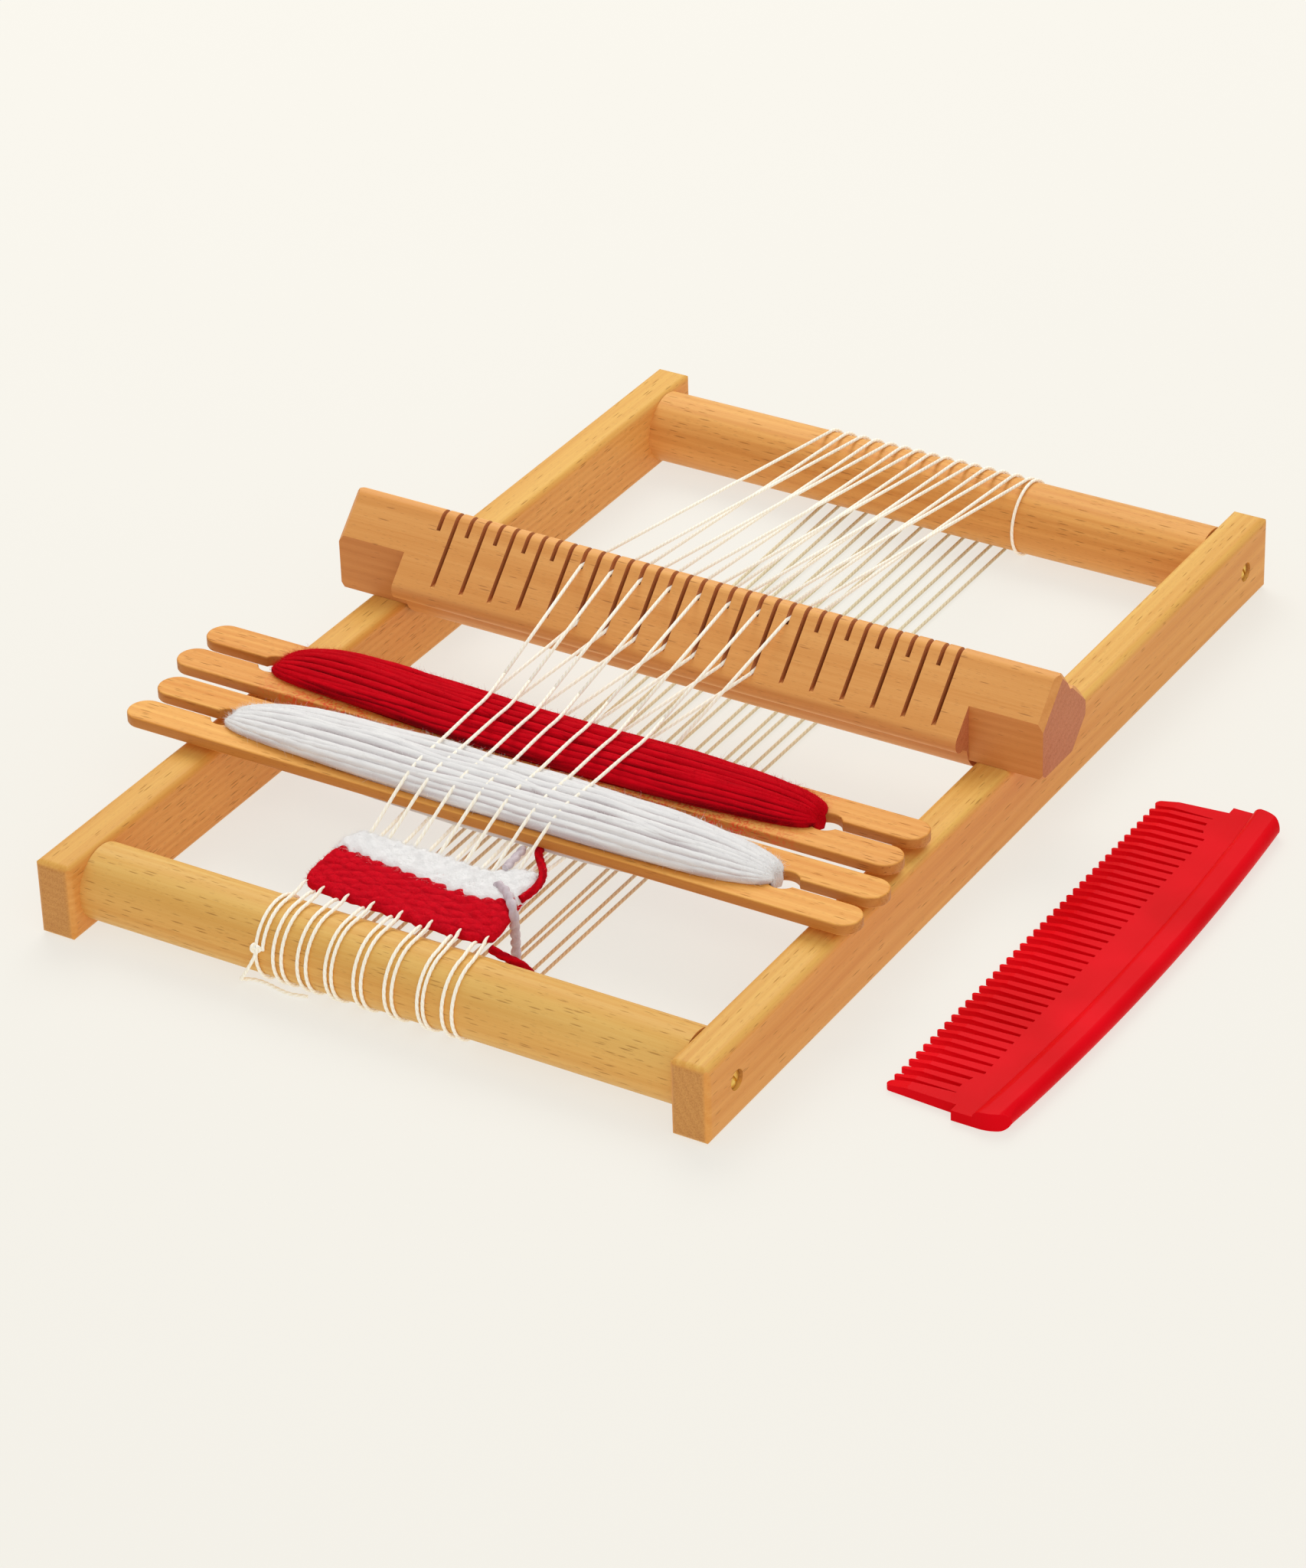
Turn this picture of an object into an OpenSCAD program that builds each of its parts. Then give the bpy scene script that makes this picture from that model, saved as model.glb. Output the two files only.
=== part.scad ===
// Weaving frame with a turning heddle bar, a started piece of weaving,
// two stick shuttles and a comb beater.
//
// Axes: X runs along the beams, Y runs along the side rails away from the
// weaver, Z is up and the table is z = 0. Everything is placed from the
// middle of the frame, then moved in x by set_shift, so that the origin sits
// under the middle of the whole set.

/* [Frame] */
// Length of each side rail
rail_length = 400; // [390:5:440]
// Height of each side rail
rail_height = 28.5; // [26:0.5:32]
// Thickness of each side rail
rail_thickness = 14; // [12:1:18]
// Clear width between the two rails
inner_width = 228; // [216:2:250]
// Radius on the long edges of the rails
rail_edge = 2.6; // [1:0.2:4]
// Diameter of the two round beams
beam_diameter = 26.6; // [24:0.2:26.6]
// Distance from each beam's axis to the end of the rails
beam_inset = 18; // [16:1:22]

/* [Screws] */
// Diameter of the brass screw heads
screw_head = 6.6; // [5:0.2:7]
// Diameter of the recess that each head sits in
screw_recess = 7.2; // [7.2:0.2:9]
// Diameter of the screw shank
screw_shank = 4; // [3:0.5:5]

/* [Heddle bar] */
// How far the bar reaches past each rail
bar_overhang = 12; // [8:1:20]
// Width of each thread slot
slot_width = 1.6; // [1.4:0.1:2]
// Distance between neighbouring slots
slot_pitch = 5.85; // [5.4:0.05:6]
// Number of slots, high and low ones in turn
slot_count = 36; // [28:4:36]
// Height of the long slots' level floor above the rails
long_floor_rise = 14.2; // [13:0.1:15]
// Distance back to the upright floor of the short slots
short_floor = 7.6; // [6:0.1:9]

/* [Shuttles] */
// Length of a stick shuttle
stick_length = 284; // [260:2:300]
// Width of a stick shuttle
stick_width = 31; // [29:0.5:31]
// Thickness of a stick shuttle
stick_thickness = 4; // [3:0.5:4]
// Angle of both sticks to the beams, seen from above
stick_yaw = 0.2; // [0:0.1:0.4]

/* [Comb] */
// Length of the comb's back
comb_length = 202; // [190:2:210]
// Number of teeth, with the two guard teeth
tooth_count = 41; // [21:2:41]
// Thickness of the comb's plate at the roots of the teeth
plate_thickness = 3.8; // [3:0.2:5]

/* [Threads] */
// Diameter of the cotton warp thread
thread_diameter = 1.2; // [0.8:0.1:1.2]
// Diameter of the wool on the shuttles, where it isn't squeezed
yarn_diameter = 2.7; // [2.2:0.1:2.7]

/* [Hidden] */
$fn = 48;
eps = 0.01;

beech = "#d6a45e";
beech_dark = "#c88f4c";
red_plastic = "#d4001a";
cotton = "#e6e0cc";
red_wool = "#c4001c";
white_wool = "#e6e7e8";
brass = "#c9a24a";

// Heights and places that follow from the frame.
beam_r = beam_diameter / 2;
beam_z = beam_r + thread_diameter + 0.2;
beam_offset = rail_length / 2 - beam_inset;
rail_x = inner_width / 2;
bar_length = inner_width + 2 * rail_thickness + 2 * bar_overhang;
wrap_r = beam_r + thread_diameter / 2 + 0.35;
wrap_step = 22.5;
wrap_flat = wrap_r * cos(wrap_step / 2);
web_z = beam_z + wrap_flat;
fell_y = 47 - beam_offset;

// The face of the heddle bar leans back at 45 degrees through this point.
face_y = 1.5;
face_z = rail_height + 22.5;
long_floor = rail_height + long_floor_rise;
seat_y = 0.1;
seat_z = rail_height + 0.1;
shoulder_x = rail_x - 1.8;
slot_x0 = -(slot_count - 1) * slot_pitch / 2;

// Half the outer size of a full yarn winding, from the stick's mid plane.
wind_side = 13.8;
wind_top = 9.5;
wind_under = stick_thickness / 2 + 3;
wind_loops = 8;

// The sticks: the middle of each. The threads carry both so high that the
// undersides of their windings pass over the rails.
stick_z = rail_height + wind_under + 0.25;
red_mid = [-14, fell_y + 68.4, stick_z];
white_mid = [-8.5, fell_y + 31.3, stick_z];
keyhole_r = 5.25;
red_keyhole = stick_length / 2 - 33;
white_keyhole = stick_length / 2 - 33.4;

// Where the comb's teeth start, and its long edge.
comb_tip_x = rail_x + rail_thickness + 32.5;
comb_root_x = comb_tip_x + 26;
comb_back_x = comb_root_x + 23;
comb_mid_y = -50.2;
comb_bow = 1210;
tooth_pitch = 4.72;
rim_top = 6.4;

// The 15 warp threads: x at the front beam, x and y (from the fell) where each
// leaves the cloth, and how far it is pushed aside at the red stick's far edge.
warp_front = [-40.7, -36.6, -33.4, -27.2, -23.9, -16.5, -14.1, -5.6, -2.7,
    6.2, 9, 18.7, 20.8, 28, 31.8];
warp_fell = [-38.6, -34.9, -31.4, -25.7, -21.2, -15.9, -11.6, -5.4, -1.6,
    4.9, 9, 13, 16.5, 20, 23.7];
fell_bow = [0, 0, 0, 0, 0, 0, 0, 0, 0.4, 0.8, 1.2, 2.4, 4, 4.2, 3.4];
warp_push = [3, -15, 3, -17, 1.8, -18, 0.4, -19, 0.6, -19, 0.8, -18, 1.2, -17.4, -9.5];
warp_first_slot = slot_count / 2 - 8;

// Plan of the woven cloth, with y counted from the fell.
red_plan = [[-43.6, -9], [27.4, -9], [28.6, -15], [30.4, -25], [31.6, -31.8], [30.2, -34.8],
    [10, -34.8], [-15, -35.6], [-37.6, -35.8], [-42.4, -32.6], [-43.6, -23]];
white_plan = [[-43.6, -8.9], [-43.2, -5.6], [-40, -1], [-20, -0.4], [5, 1.2], [13, 3],
    [17, 4.8], [22, 4.8], [25.4, 3.6], [26.8, 0.6], [26.6, -4], [27.4, -8.9]];
cloth_low = web_z - 2.4;
cloth_high = web_z + 2;

// Routes of the loose ends. The warp's tail counts y from the front beam's
// axis, the wool ends count y from the fell and z from the web's middle.
warp_tail_route = [[-42.4, -15, 16.9], [-43.2, -16.6, 14.2], [-45.2, -17, 10.5],
    [-48, -15.6, 6.5], [-50.6, -13, 3.2], [-51.4, -10.4, 1.4], [-50, -8.8, 0.85],
    [-46.5, -8.2, 0.8], [-42.5, -8.6, 0.8], [-38.5, -9.4, 0.8],
    [-34.5, -9.8, 0.8], [-31, -9.2, 0.8], [-28, -8.4, 0.8]];
red_tail_route = [[31, -35.9, -2.08], [33.4, -34.6, -4.18], [36, -32.4, -6.68], [38.5, -29.7, -9.68],
    [40.5, -27, -14.68], [41.5, -25.5, -19.68], [42, -25, -24.68],
    [43.2, -23.9, -26.98]];
white_tail_route = [[17.3, -9.7, 3.22], [20.5, -11.3, 3.52], [23.6, -13.5, 3.62], [26.6, -16.4, 3.62],
    [29.2, -19.2, 3.02], [30.3, -20.4, 0.52], [29.7, -19.4, -3.68],
    [28.9, -18.1, -8.68], [27.9, -16.7, -14.68], [27.9, -16.6, -20.28]];
red_yarn_route = [[27.6, -12.4, 2.02], [28.1, -10.8, 2.22], [28.6, -6.9, 2.22], [28.25, -1.9, 2.22],
    [26.72, 2.75, 2.22], [24.5, 6.4, 2.2], [21.6, 9.8, 2.1],
    [18.9, 13.1, 1.8], [17.4, 15.3, 1.6], [16.8, 17.4, 1.5]];
white_yarn_route = [[14.13, -0.3, 2.92], [14.13, 2.63, 3.12], [14.01, 6.21, 3.32], [13.63, 9.9, 3.22],
    [13.07, 12.72, 2.82]];

// The whole set is centred on the table: from the red stick's left tip to
// the comb's back.
set_left = red_mid[0] - (stick_length / 2 - 6.5) * cos(stick_yaw)
    - 9 * sin(stick_yaw) - 6.5;
set_right = comb_back_x;
set_shift = -(set_left + set_right) / 2;

// Small vector helpers.
function unit(v) = v / norm(v);
function mix(a, b, t) = a + (b - a) * t;

// Direction of a route at point i, taken from its neighbours.
function route_dir(p, i) =
    let (a = p[max(i - 1, 0)], b = p[i], c = p[min(i + 1, len(p) - 1)])
    let (d0 = i > 0 ? unit(b - a) : [0, 0, 0], d1 = i < len(p) - 1 ? unit(c - b) : [0, 0, 0])
    unit(d0 + d1);

// One ring of a tube: sides points around the route, seen along the route.
function ring(p, i, r, sides, side_axis) =
    let (t = route_dir(p, i), r = is_list(r) ? r[i] : r)
    let (a = unit(side_axis - t * (side_axis * t)), b = cross(t, a))
    [for (k = [0 : sides - 1]) p[i] + r * (a * cos(360 * k / sides) + b * sin(360 * k / sides))];

// A tube along a route, as one closed solid. Its radius r is one number, or
// one for each point.
module tube(p, r, sides, side_axis) {
    n = len(p);
    points = [for (i = [0 : n - 1]) each ring(p, i, r, sides, side_axis)];
    walls = [for (i = [0 : n - 2], k = [0 : sides - 1])
        let (a = i * sides + k, b = i * sides + (k + 1) % sides)
        each [[a, a + sides, b], [b, a + sides, b + sides]]];
    start = [for (k = [1 : sides - 2]) [0, k, k + 1]];
    stop = [for (k = [1 : sides - 2]) [(n - 1) * sides, (n - 1) * sides + k + 1, (n - 1) * sides + k]];
    polyhedron(points = points, faces = concat(walls, start, stop));
}

// Least distance between the middle lines of two rows of points.
function row_gap(a, b) = min([for (p = a, q = b) norm(p - q)]);

// More points along a route, parts to each stretch.
function fine(p, parts) = [for (i = [0 : len(p) - 2], k = [0 : parts - 1]) mix(p[i], p[i + 1], k / parts)];

// A rectangle with round corners, as exact arcs.
module round_rect(w, h, r) {
    square([w - 2 * r, h], center = true);
    square([w, h - 2 * r], center = true);
    for (x = [-1, 1], y = [-1, 1])
        translate([x * (w / 2 - r), y * (h / 2 - r)]) circle(r);
}

// Lays a flat outline in the YZ plane and runs it along X.
module along_x(length) {
    translate([-length / 2, 0, 0]) rotate([90, 0, 90]) linear_extrude(length) children();
}

// Lays a flat outline in the XZ plane and runs it along Y.
module along_y(length) {
    translate([0, length / 2, 0]) rotate([90, 0, 0]) linear_extrude(length) children();
}

module placed() {
    translate([set_shift, 0, 0]) children();
}

// Side rail: a bar with every edge rounded, bored for one screw at each beam.
module rail(side) {
    translate([side * (rail_x + rail_thickness / 2), 0, 0])
    difference() {
        translate([0, 0, rail_height / 2])
        intersection() {
            along_y(rail_length) round_rect(rail_thickness, rail_height, rail_edge);
            along_x(rail_thickness) round_rect(rail_length, rail_height, rail_edge);
            linear_extrude(rail_height, center = true) round_rect(rail_thickness, rail_length, rail_edge);
        }
        for (y = [-1, 1])
            translate([0, y * beam_offset, beam_z]) rotate([0, 90, 0]) {
                cylinder(h = rail_thickness + 2, d = screw_shank + 0.2, center = true);
                translate([0, 0, side > 0 ? rail_thickness / 2 - 3 : -rail_thickness / 2 - 1])
                    cylinder(h = 4, d = screw_recess);
            }
    }
}

module left_rail() { color(beech) rail(-1); }
module right_rail() { color(beech) rail(1); }

// Round beam between the rails, with a pilot hole in each end.
module beam(side) {
    translate([0, side * beam_offset, beam_z]) rotate([0, 90, 0])
    difference() {
        cylinder(h = inner_width, d = beam_diameter, center = true);
        for (e = [-1, 1])
            translate([0, 0, e * (inner_width / 2 - 10)])
                cylinder(h = 20 + eps, d = screw_shank, center = true);
    }
}

module front_beam() { color(beech_dark) beam(-1); }
module back_beam() { color(beech_dark) beam(1); }

// Brass wood screw: a slotted head sunk in the rail and a shank in the beam.
module screw(side_x, side_y) {
    head_t = 2.3;
    translate([side_x * (rail_x + rail_thickness - 3), side_y * beam_offset, beam_z])
    rotate([0, side_x * 90, 0]) {
        difference() {
            intersection() {
                cylinder(h = head_t, d = screw_head);
                translate([0, 0, head_t - 9]) sphere(r = 9);
            }
            rotate([0, 0, 35]) translate([-screw_head, -0.5, head_t - 0.8]) cube([2 * screw_head, 1, 2]);
        }
        translate([0, 0, -26]) cylinder(h = 26 + eps, d = screw_shank);
        translate([0, 0, -29]) cylinder(h = 3 + eps, d1 = 0.8, d2 = screw_shank);
    }
}

module front_left_screw() { color(brass) screw(-1, -1); }
module front_right_screw() { color(brass) screw(1, -1); }
module back_left_screw() { color(brass) screw(-1, 1); }
module back_right_screw() { color(brass) screw(1, 1); }

// Section of the heddle bar: flat front, deep rounded back. The outline is
// four arcs joined by their common tangents; x is depth and y is along the face.
bar_arcs = [[4, -13.6, 4], [19, -4.6, 13], [19, 4.6, 13], [4, 13.6, 4]];
function tangent(a, b) =
    let (d = [b[0] - a[0], b[1] - a[1]])
    let (turn = atan2(d[1], d[0]) - 90 + asin((b[2] - a[2]) / norm(d)))
    [[a[0], a[1]] + a[2] * [cos(turn), sin(turn)], [b[0], b[1]] + b[2] * [cos(turn), sin(turn)]];

module bar_section() {
    for (a = bar_arcs) translate([a[0], a[1]]) circle(a[2]);
    polygon([for (i = [0 : 3]) each tangent(bar_arcs[i], bar_arcs[(i + 1) % 4])]);
}

// A rectangle with its four corners cut off, for the broken edges of the ends.
module cut_rect(w, h, c) {
    polygon([[-w / 2 + c, -h / 2], [w / 2 - c, -h / 2], [w / 2, -h / 2 + c], [w / 2, h / 2 - c],
        [w / 2 - c, h / 2], [-w / 2 + c, h / 2], [-w / 2, h / 2 - c], [-w / 2, -h / 2 + c]]);
}

module bar_blank() {
    translate([0, face_y, face_z]) rotate([-45, 0, 0])
    intersection() {
        along_x(bar_length) bar_section();
        translate([0, 16, 0]) linear_extrude(40, center = true) cut_rect(bar_length, 32, 2);
        translate([0, 16, 0]) rotate([90, 0, 0]) linear_extrude(34, center = true) cut_rect(bar_length, 35.2, 2);
    }
}

// Heddle bar: slots in turn cut down to a level floor and back to an upright
// floor, so that a quarter turn swaps the high and the low threads. Each end
// has two seats at a right angle, and the bar turns about the edge between them.
module heddle_bar() {
    color(beech)
    difference() {
        bar_blank();
        for (i = [0 : slot_count - 1])
            translate([slot_x0 + i * slot_pitch - slot_width / 2, 0, 0])
                if (i % 2 == 0) translate([0, short_floor, 0]) cube([slot_width, 60, 90]);
                else translate([0, -40, long_floor]) cube([slot_width, 100, 60]);
        for (e = [-1, 1]) {
            translate([e > 0 ? shoulder_x : -shoulder_x - 40, -40, 0]) cube([40, 100, seat_z]);
            translate([e > 0 ? shoulder_x : -shoulder_x - 40, seat_y - 60, 0]) cube([40, 60, 90]);
        }
    }
}

// Warp: one thread wound round both beams, 15 turns. Threads 0, 2, 4 ... lie in
// the short slots and run high, the others lie in the long slots and run low.
function slot_at(i) = slot_x0 + (warp_first_slot + i) * slot_pitch;
function high(i) = i % 2 == 0;
function yaw_y(x, mid) = tan(stick_yaw) * (x - mid[0]);

// The last thread lies in a short slot but runs under both sticks.
function over(i) = high(i) && i < 14;

// Height of thread i where it passes over or under a stick's winding.
function pass_z(i, mid) = mid[2] + (over(i) ? 1 : -1)
    * ((over(i) ? wind_top : wind_under) + 0.3 + thread_diameter / 2);

function front_wrap(x) = [for (k = [0 : 7]) let (a = wrap_step * (k + 0.5))
    [x, -beam_offset - wrap_r * sin(a), beam_z - wrap_r * cos(a)]];
function back_wrap(x) = [for (k = [0 : 7]) let (a = wrap_step * (k + 0.5))
    [x, beam_offset + wrap_r * sin(a), beam_z + wrap_r * cos(a)]];

// Sideways place of thread i at distance y past the fell: on a straight line to
// its slot, with a share of the push that the sticks give it.
function run_x(i, y, share) = mix(warp_fell[i], slot_at(i), -y / fell_y) + share * warp_push[i];

// One point of thread i over or under a stick, off to one side of its middle,
// where the stick carries every thread sideways by side.
function pass(i, mid, off, share, side) = let (x = run_x(i, mid[1] + off - fell_y, share) + side)
    [x, mid[1] + off + yaw_y(x, mid), pass_z(i, mid)];

function fell_at(i) = [warp_fell[i], fell_y + fell_bow[i], web_z];

// The upper run of thread i, from the fell to behind the heddle bar.
function shed(i) =
    let (far = over(i) ? pass(i, red_mid, 16.4, 1, 0) : pass(i, red_mid, 14.6, 1, -1))
    let (x1 = slot_at(i), low = long_floor + 0.3 + thread_diameter / 2)
    [fell_at(i), pass(i, white_mid, -9.1, 0.14, over(i) ? 3.1 : 0), pass(i, white_mid, 5.3, 0.3, over(i) ? 3.2 : 0),
     pass(i, red_mid, -6.3, over(i) ? 0.9 : 0.65, 0.8), pass(i, red_mid, 3.7, over(i) ? 1 : 0.85, 0.8),
     [far[0], far[1], red_mid[2] + (over(i) ? 12.45 : -wind_under - 0.3)],
     high(i) ? [x1, short_floor + 0.2 + thread_diameter / 2, rail_height + (over(i) ? 29.5 : 30)] : [x1, -7.4, low],
     high(i) ? [x1, 32, rail_height + 25.6] : [x1, 32.4, low]];

function warp_turn(i) = concat(
    i == 0 ? [for (p = front_wrap(warp_front[0])) if (p[2] > beam_z) p] : front_wrap(warp_front[i]),
    shed(i),
    i == 14 ? [for (p = back_wrap(slot_at(14))) if (p[2] > beam_z - 6) p] : back_wrap(slot_at(i)));

warp_route = [for (i = [0 : 14]) each warp_turn(i)];
warp_gap = min([for (i = [0 : 13])
    row_gap(fine(warp_turn(i), 5), fine(warp_turn(i + 1), 5))]) - thread_diameter;
echo(least_gap_of_the_warp_to_itself = warp_gap);

module warp() { color(cotton) tube(warp_route, thread_diameter / 2, 6, [1, 0, 0]); }

// A loop of thread round a beam with the knot that ties off the warp.
module tie(side, x, z) {
    r = beam_r + thread_diameter / 2 + 0.1;
    knot = beam_r + 1.7;
    translate([x, side * beam_offset, beam_z]) {
        rotate([0, 90, 0]) rotate_extrude() translate([r, 0]) circle(d = thread_diameter);
        translate([0.5, side * sqrt(knot * knot - z * z), z]) sphere(d = 3.2);
    }
}

module front_warp_tie() { color(cotton) tie(-1, warp_front[0] - 2.6, 3.2); }
module back_warp_tie() { color(cotton) tie(1, slot_at(14) + 2.6, -6); }
module warp_tail() {
    color(cotton) translate([0, -beam_offset, 0])
        tube(warp_tail_route, thread_diameter / 2, 8, [0.3, 1, 0.2]);
}

// A round channel from point a through point b, more past it.
module channel(a, b, more) {
    d = b - a;
    translate(a) rotate([0, 0, -atan2(d[0], d[1])]) rotate([atan2(d[2], norm([d[0], d[1]])) - 90, 0, 0])
        cylinder(h = norm(d) + more, d = thread_diameter + 0.5);
}

// The woven cloth lies round the warp threads, so it has a channel for each,
// which turns up or down with the thread at the fell.
module cloth(plan) {
    difference() {
        translate([0, fell_y, cloth_low]) linear_extrude(cloth_high - cloth_low) polygon(plan);
        for (i = [0 : 14]) {
            fell = fell_at(i);
            next = shed(i)[1];
            channel([warp_front[i], -beam_offset - wrap_r * sin(wrap_step / 2), web_z], fell, 0.4);
            channel(fell - 0.4 * unit(next - fell), fell, 8);
        }
    }
}

module wool_end(route, r, side_axis) {
    translate([0, fell_y, web_z]) tube(route, r, 8, side_axis);
}

module red_cloth() { color(red_wool) cloth(red_plan); }
module white_cloth() { color(white_wool) cloth(white_plan); }
module red_start_tail() { color(red_wool) wool_end(red_tail_route, 1.45, [0, 0, 1]); }
module white_weft_tail() { color(white_wool) wool_end(white_tail_route, 1.65, [0, 1, 0]); }
module red_weft_yarn() { color(red_wool) wool_end(red_yarn_route, 1.3, [0, 0, 1]); }
module white_weft_yarn() { color(white_wool) wool_end(white_yarn_route, 1.35, [0, 0, 1]); }

// Stick shuttle: a flat stick with a slot and a keyhole in each end, which
// leave two round-tipped prongs.
module stick_plan(keyhole) {
    prong = (stick_width - 5) / 2;
    difference() {
        union() {
            square([stick_length - prong, stick_width], center = true);
            for (x = [-1, 1], y = [-1, 1])
                translate([x * (stick_length - prong) / 2, y * (stick_width - prong) / 2]) circle(d = prong);
        }
        for (e = [-1, 1]) {
            translate([e * keyhole, 0]) circle(keyhole_r);
            translate([e * (keyhole + 30), 0]) square([60, 5], center = true);
        }
    }
}

module stick(keyhole) {
    linear_extrude(stick_thickness, center = true) stick_plan(keyhole);
}

module at_stick(mid) {
    translate(mid) rotate([0, 0, stick_yaw]) children();
}

// Yarn winding: the distance of its keyholes, how blunt its ends are, how far it
// leans back at its left end and forward at its right end, and its offset back.
red_wind = [red_keyhole, 3.6, 11, 0.5, -1.6];
white_wind = [white_keyhole, 2.9, 9, 5, 0];

// Fullness along the stick, from 0 at the keyholes to 1. The strands are squeezed
// together in the keyholes and lie side by side between.
function full(t, w) = 1 - pow(abs(t), w[1]);
function drift(t, w) = pow(full(t, w), 2) * (w[4] - (t < 0 ? w[2] : w[3]) * t * abs(t));
stations = [-1, -0.95, -0.86, -0.7, -0.4, 0, 0.4, 0.7, 0.86, 0.95, 1];
hole_ring = 4.2;

function strand_r(t, up, w) = mix(0.35, yarn_diameter / 2 - (up > 0 ? 0 : 0.25), pow(full(t, w), 2));
function strand_low(t, up, w) = stick_thickness / 2 + strand_r(t, up, w) + 0.3;
function strand_high(t, up, w) =
    mix(strand_low(t, up, w), (up > 0 ? wind_top : wind_under) - strand_r(t, up, w), full(t, w));

// Middle of one strand of loop j at station t, over (up = 1) or under (up = -1) the stick.
function strand(j, t, up, w) =
    let (q = 2 * j / (wind_loops - 1) - 1, e = (hole_ring - 0.1) * q)
    [t * (w[0] - sqrt(hole_ring * hole_ring - e * e)),
     mix(e, (wind_side - strand_r(t, up, w)) * 0.985 * q, full(t, w)) + drift(t, w),
     up * mix(strand_low(t, up, w), strand_high(t, up, w), sqrt(1 - pow(0.985 * q, 2)))];

function wind_loop(j, w) = concat(
    [for (t = stations) strand(j, t, 1, w)],
    [for (t = stations) strand(j, -t, -1, w)]);

// The radius at every point of a loop. The yarn under the stick is drawn flatter.
function loop_r(w) = concat([for (t = stations) strand_r(t, 1, w)], [for (t = stations) strand_r(t, -1, w)]);

// Least space between neighbouring loops, surface to surface.
function wind_gap(w) = let (r = fine(loop_r(w), 8))
    min([for (j = [0 : wind_loops - 2])
        let (a = fine(wind_loop(j, w), 8), b = fine(wind_loop(j + 1, w), 8))
        for (m = [0 : len(a) - 1], n = [0 : len(b) - 1]) norm(a[m] - b[n]) - r[m] - r[n]]);
echo(least_gap_of_the_red_winding_to_itself = wind_gap(red_wind));
echo(least_gap_of_the_white_winding_to_itself = wind_gap(white_wind));

module winding(w) {
    tube([for (j = [0 : wind_loops - 1]) each wind_loop(j, w)],
        [for (j = [0 : wind_loops - 1]) each loop_r(w)], 6, [0, 1, 0]);
}

// The yarn under the outer layer: a plain spindle over and under the stick.
core_sides = 12;
function core_ring(t, up, w) =
    let (low = stick_thickness / 2 + 0.05, h = strand_high(t, up, w) - strand_r(t, up, w) - 0.35 - low)
    let (side = mix(3, wind_side - 1.9, full(t, w)))
    [for (k = [0 : core_sides - 1]) let (a = 180 * k / (core_sides - 1))
        [t * (w[0] - 5), side * cos(a) * up + drift(t, w), up * (low + max(h, 0.05) * sin(a))]];

module lobe(up, w) {
    n = len(stations);
    s = core_sides;
    points = [for (t = stations) each core_ring(t, up, w)];
    walls = [for (i = [0 : n - 2], k = [0 : s - 1])
        let (a = i * s + k, b = i * s + (k + 1) % s)
        each [[a, b, a + s], [b, b + s, a + s]]];
    start = [for (k = [1 : s - 2]) [0, k + 1, k]];
    stop = [for (k = [1 : s - 2]) [(n - 1) * s, (n - 1) * s + k, (n - 1) * s + k + 1]];
    polyhedron(points = points, faces = concat(walls, start, stop));
}

module winding_core(w) {
    lobe(1, w);
    lobe(-1, w);
}

module red_shuttle() { color(beech_dark) at_stick(red_mid) stick(red_keyhole); }
module red_yarn_core() { color(red_wool) at_stick(red_mid) winding_core(red_wind); }
module red_yarn() { color(red_wool) at_stick(red_mid) winding(red_wind); }
module white_shuttle() { color(beech_dark) at_stick(white_mid) stick(white_keyhole); }
module white_yarn_core() { color(white_wool) at_stick(white_mid) winding_core(white_wind); }
module white_yarn() { color(white_wool) at_stick(white_mid) winding(white_wind); }

// Comb: a bowed back with a raised round rim, and tapered teeth that
// point towards the frame.
module comb_back() {
    root = comb_back_x - comb_root_x;
    intersection() {
        translate([comb_back_x - comb_bow, 0, 0]) rotate([0, 0, -6])
            rotate_extrude(angle = 12, $fn = 900) translate([comb_bow, 0]) comb_profile(root);
        translate([0, 0, -1]) linear_extrude(20) comb_plan(root);
    }
}

// Section across the back, with x = 0 at its outer edge.
module comb_profile(root) {
    translate([-root - 3, 0]) square([root, plate_thickness]);
    translate([-8, 0]) square([5, rim_top]);
    translate([-3.2, 3.2]) circle(3.2);
    translate([-8.2, 3.2]) circle(3.2);
    translate([-11.4, 0]) square([8.2, 3.2]);
}

// Outline of the back seen from above, with its rounded outer corners.
module comb_plan(root) {
    r = 13;
    h = comb_length / 2;
    translate([comb_root_x, -h]) square([root - r, 2 * h]);
    translate([comb_root_x, -h + r]) square([root + 2, 2 * (h - r)]);
    for (e = [-1, 1]) translate([comb_back_x - r - 0.6, e * (h - r)]) circle(r);
}

module comb_tooth(width, tip) {
    length = comb_root_x - comb_tip_x;
    r = tip / 2;
    polygon([[0.5, -width / 2], [0.5, width / 2], [0, width / 2], [-length + r, r], [-length + r, -r], [0, -width / 2]]);
    translate([-length + r, 0]) circle(r);
}

module comb() {
    length = comb_root_x - comb_tip_x;
    color(red_plastic)
    translate([0, comb_mid_y, 0]) {
        comb_back();
        intersection() {
            linear_extrude(plate_thickness)
                translate([comb_root_x, 0])
                    for (i = [0 : tooth_count - 1])
                        translate([0, (i - (tooth_count - 1) / 2) * tooth_pitch])
                            if (i == 0 || i == tooth_count - 1) comb_tooth(6, 3.4);
                            else comb_tooth(3.4, 1.5);
            translate([comb_root_x, 0, 0])
                along_y(comb_length)
                    polygon([[1, 0], [1, plate_thickness], [0, plate_thickness],
                        [-length * 0.7, plate_thickness - 0.5], [-length, 1.9], [-length, 0]]);
        }
    }
}

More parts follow.
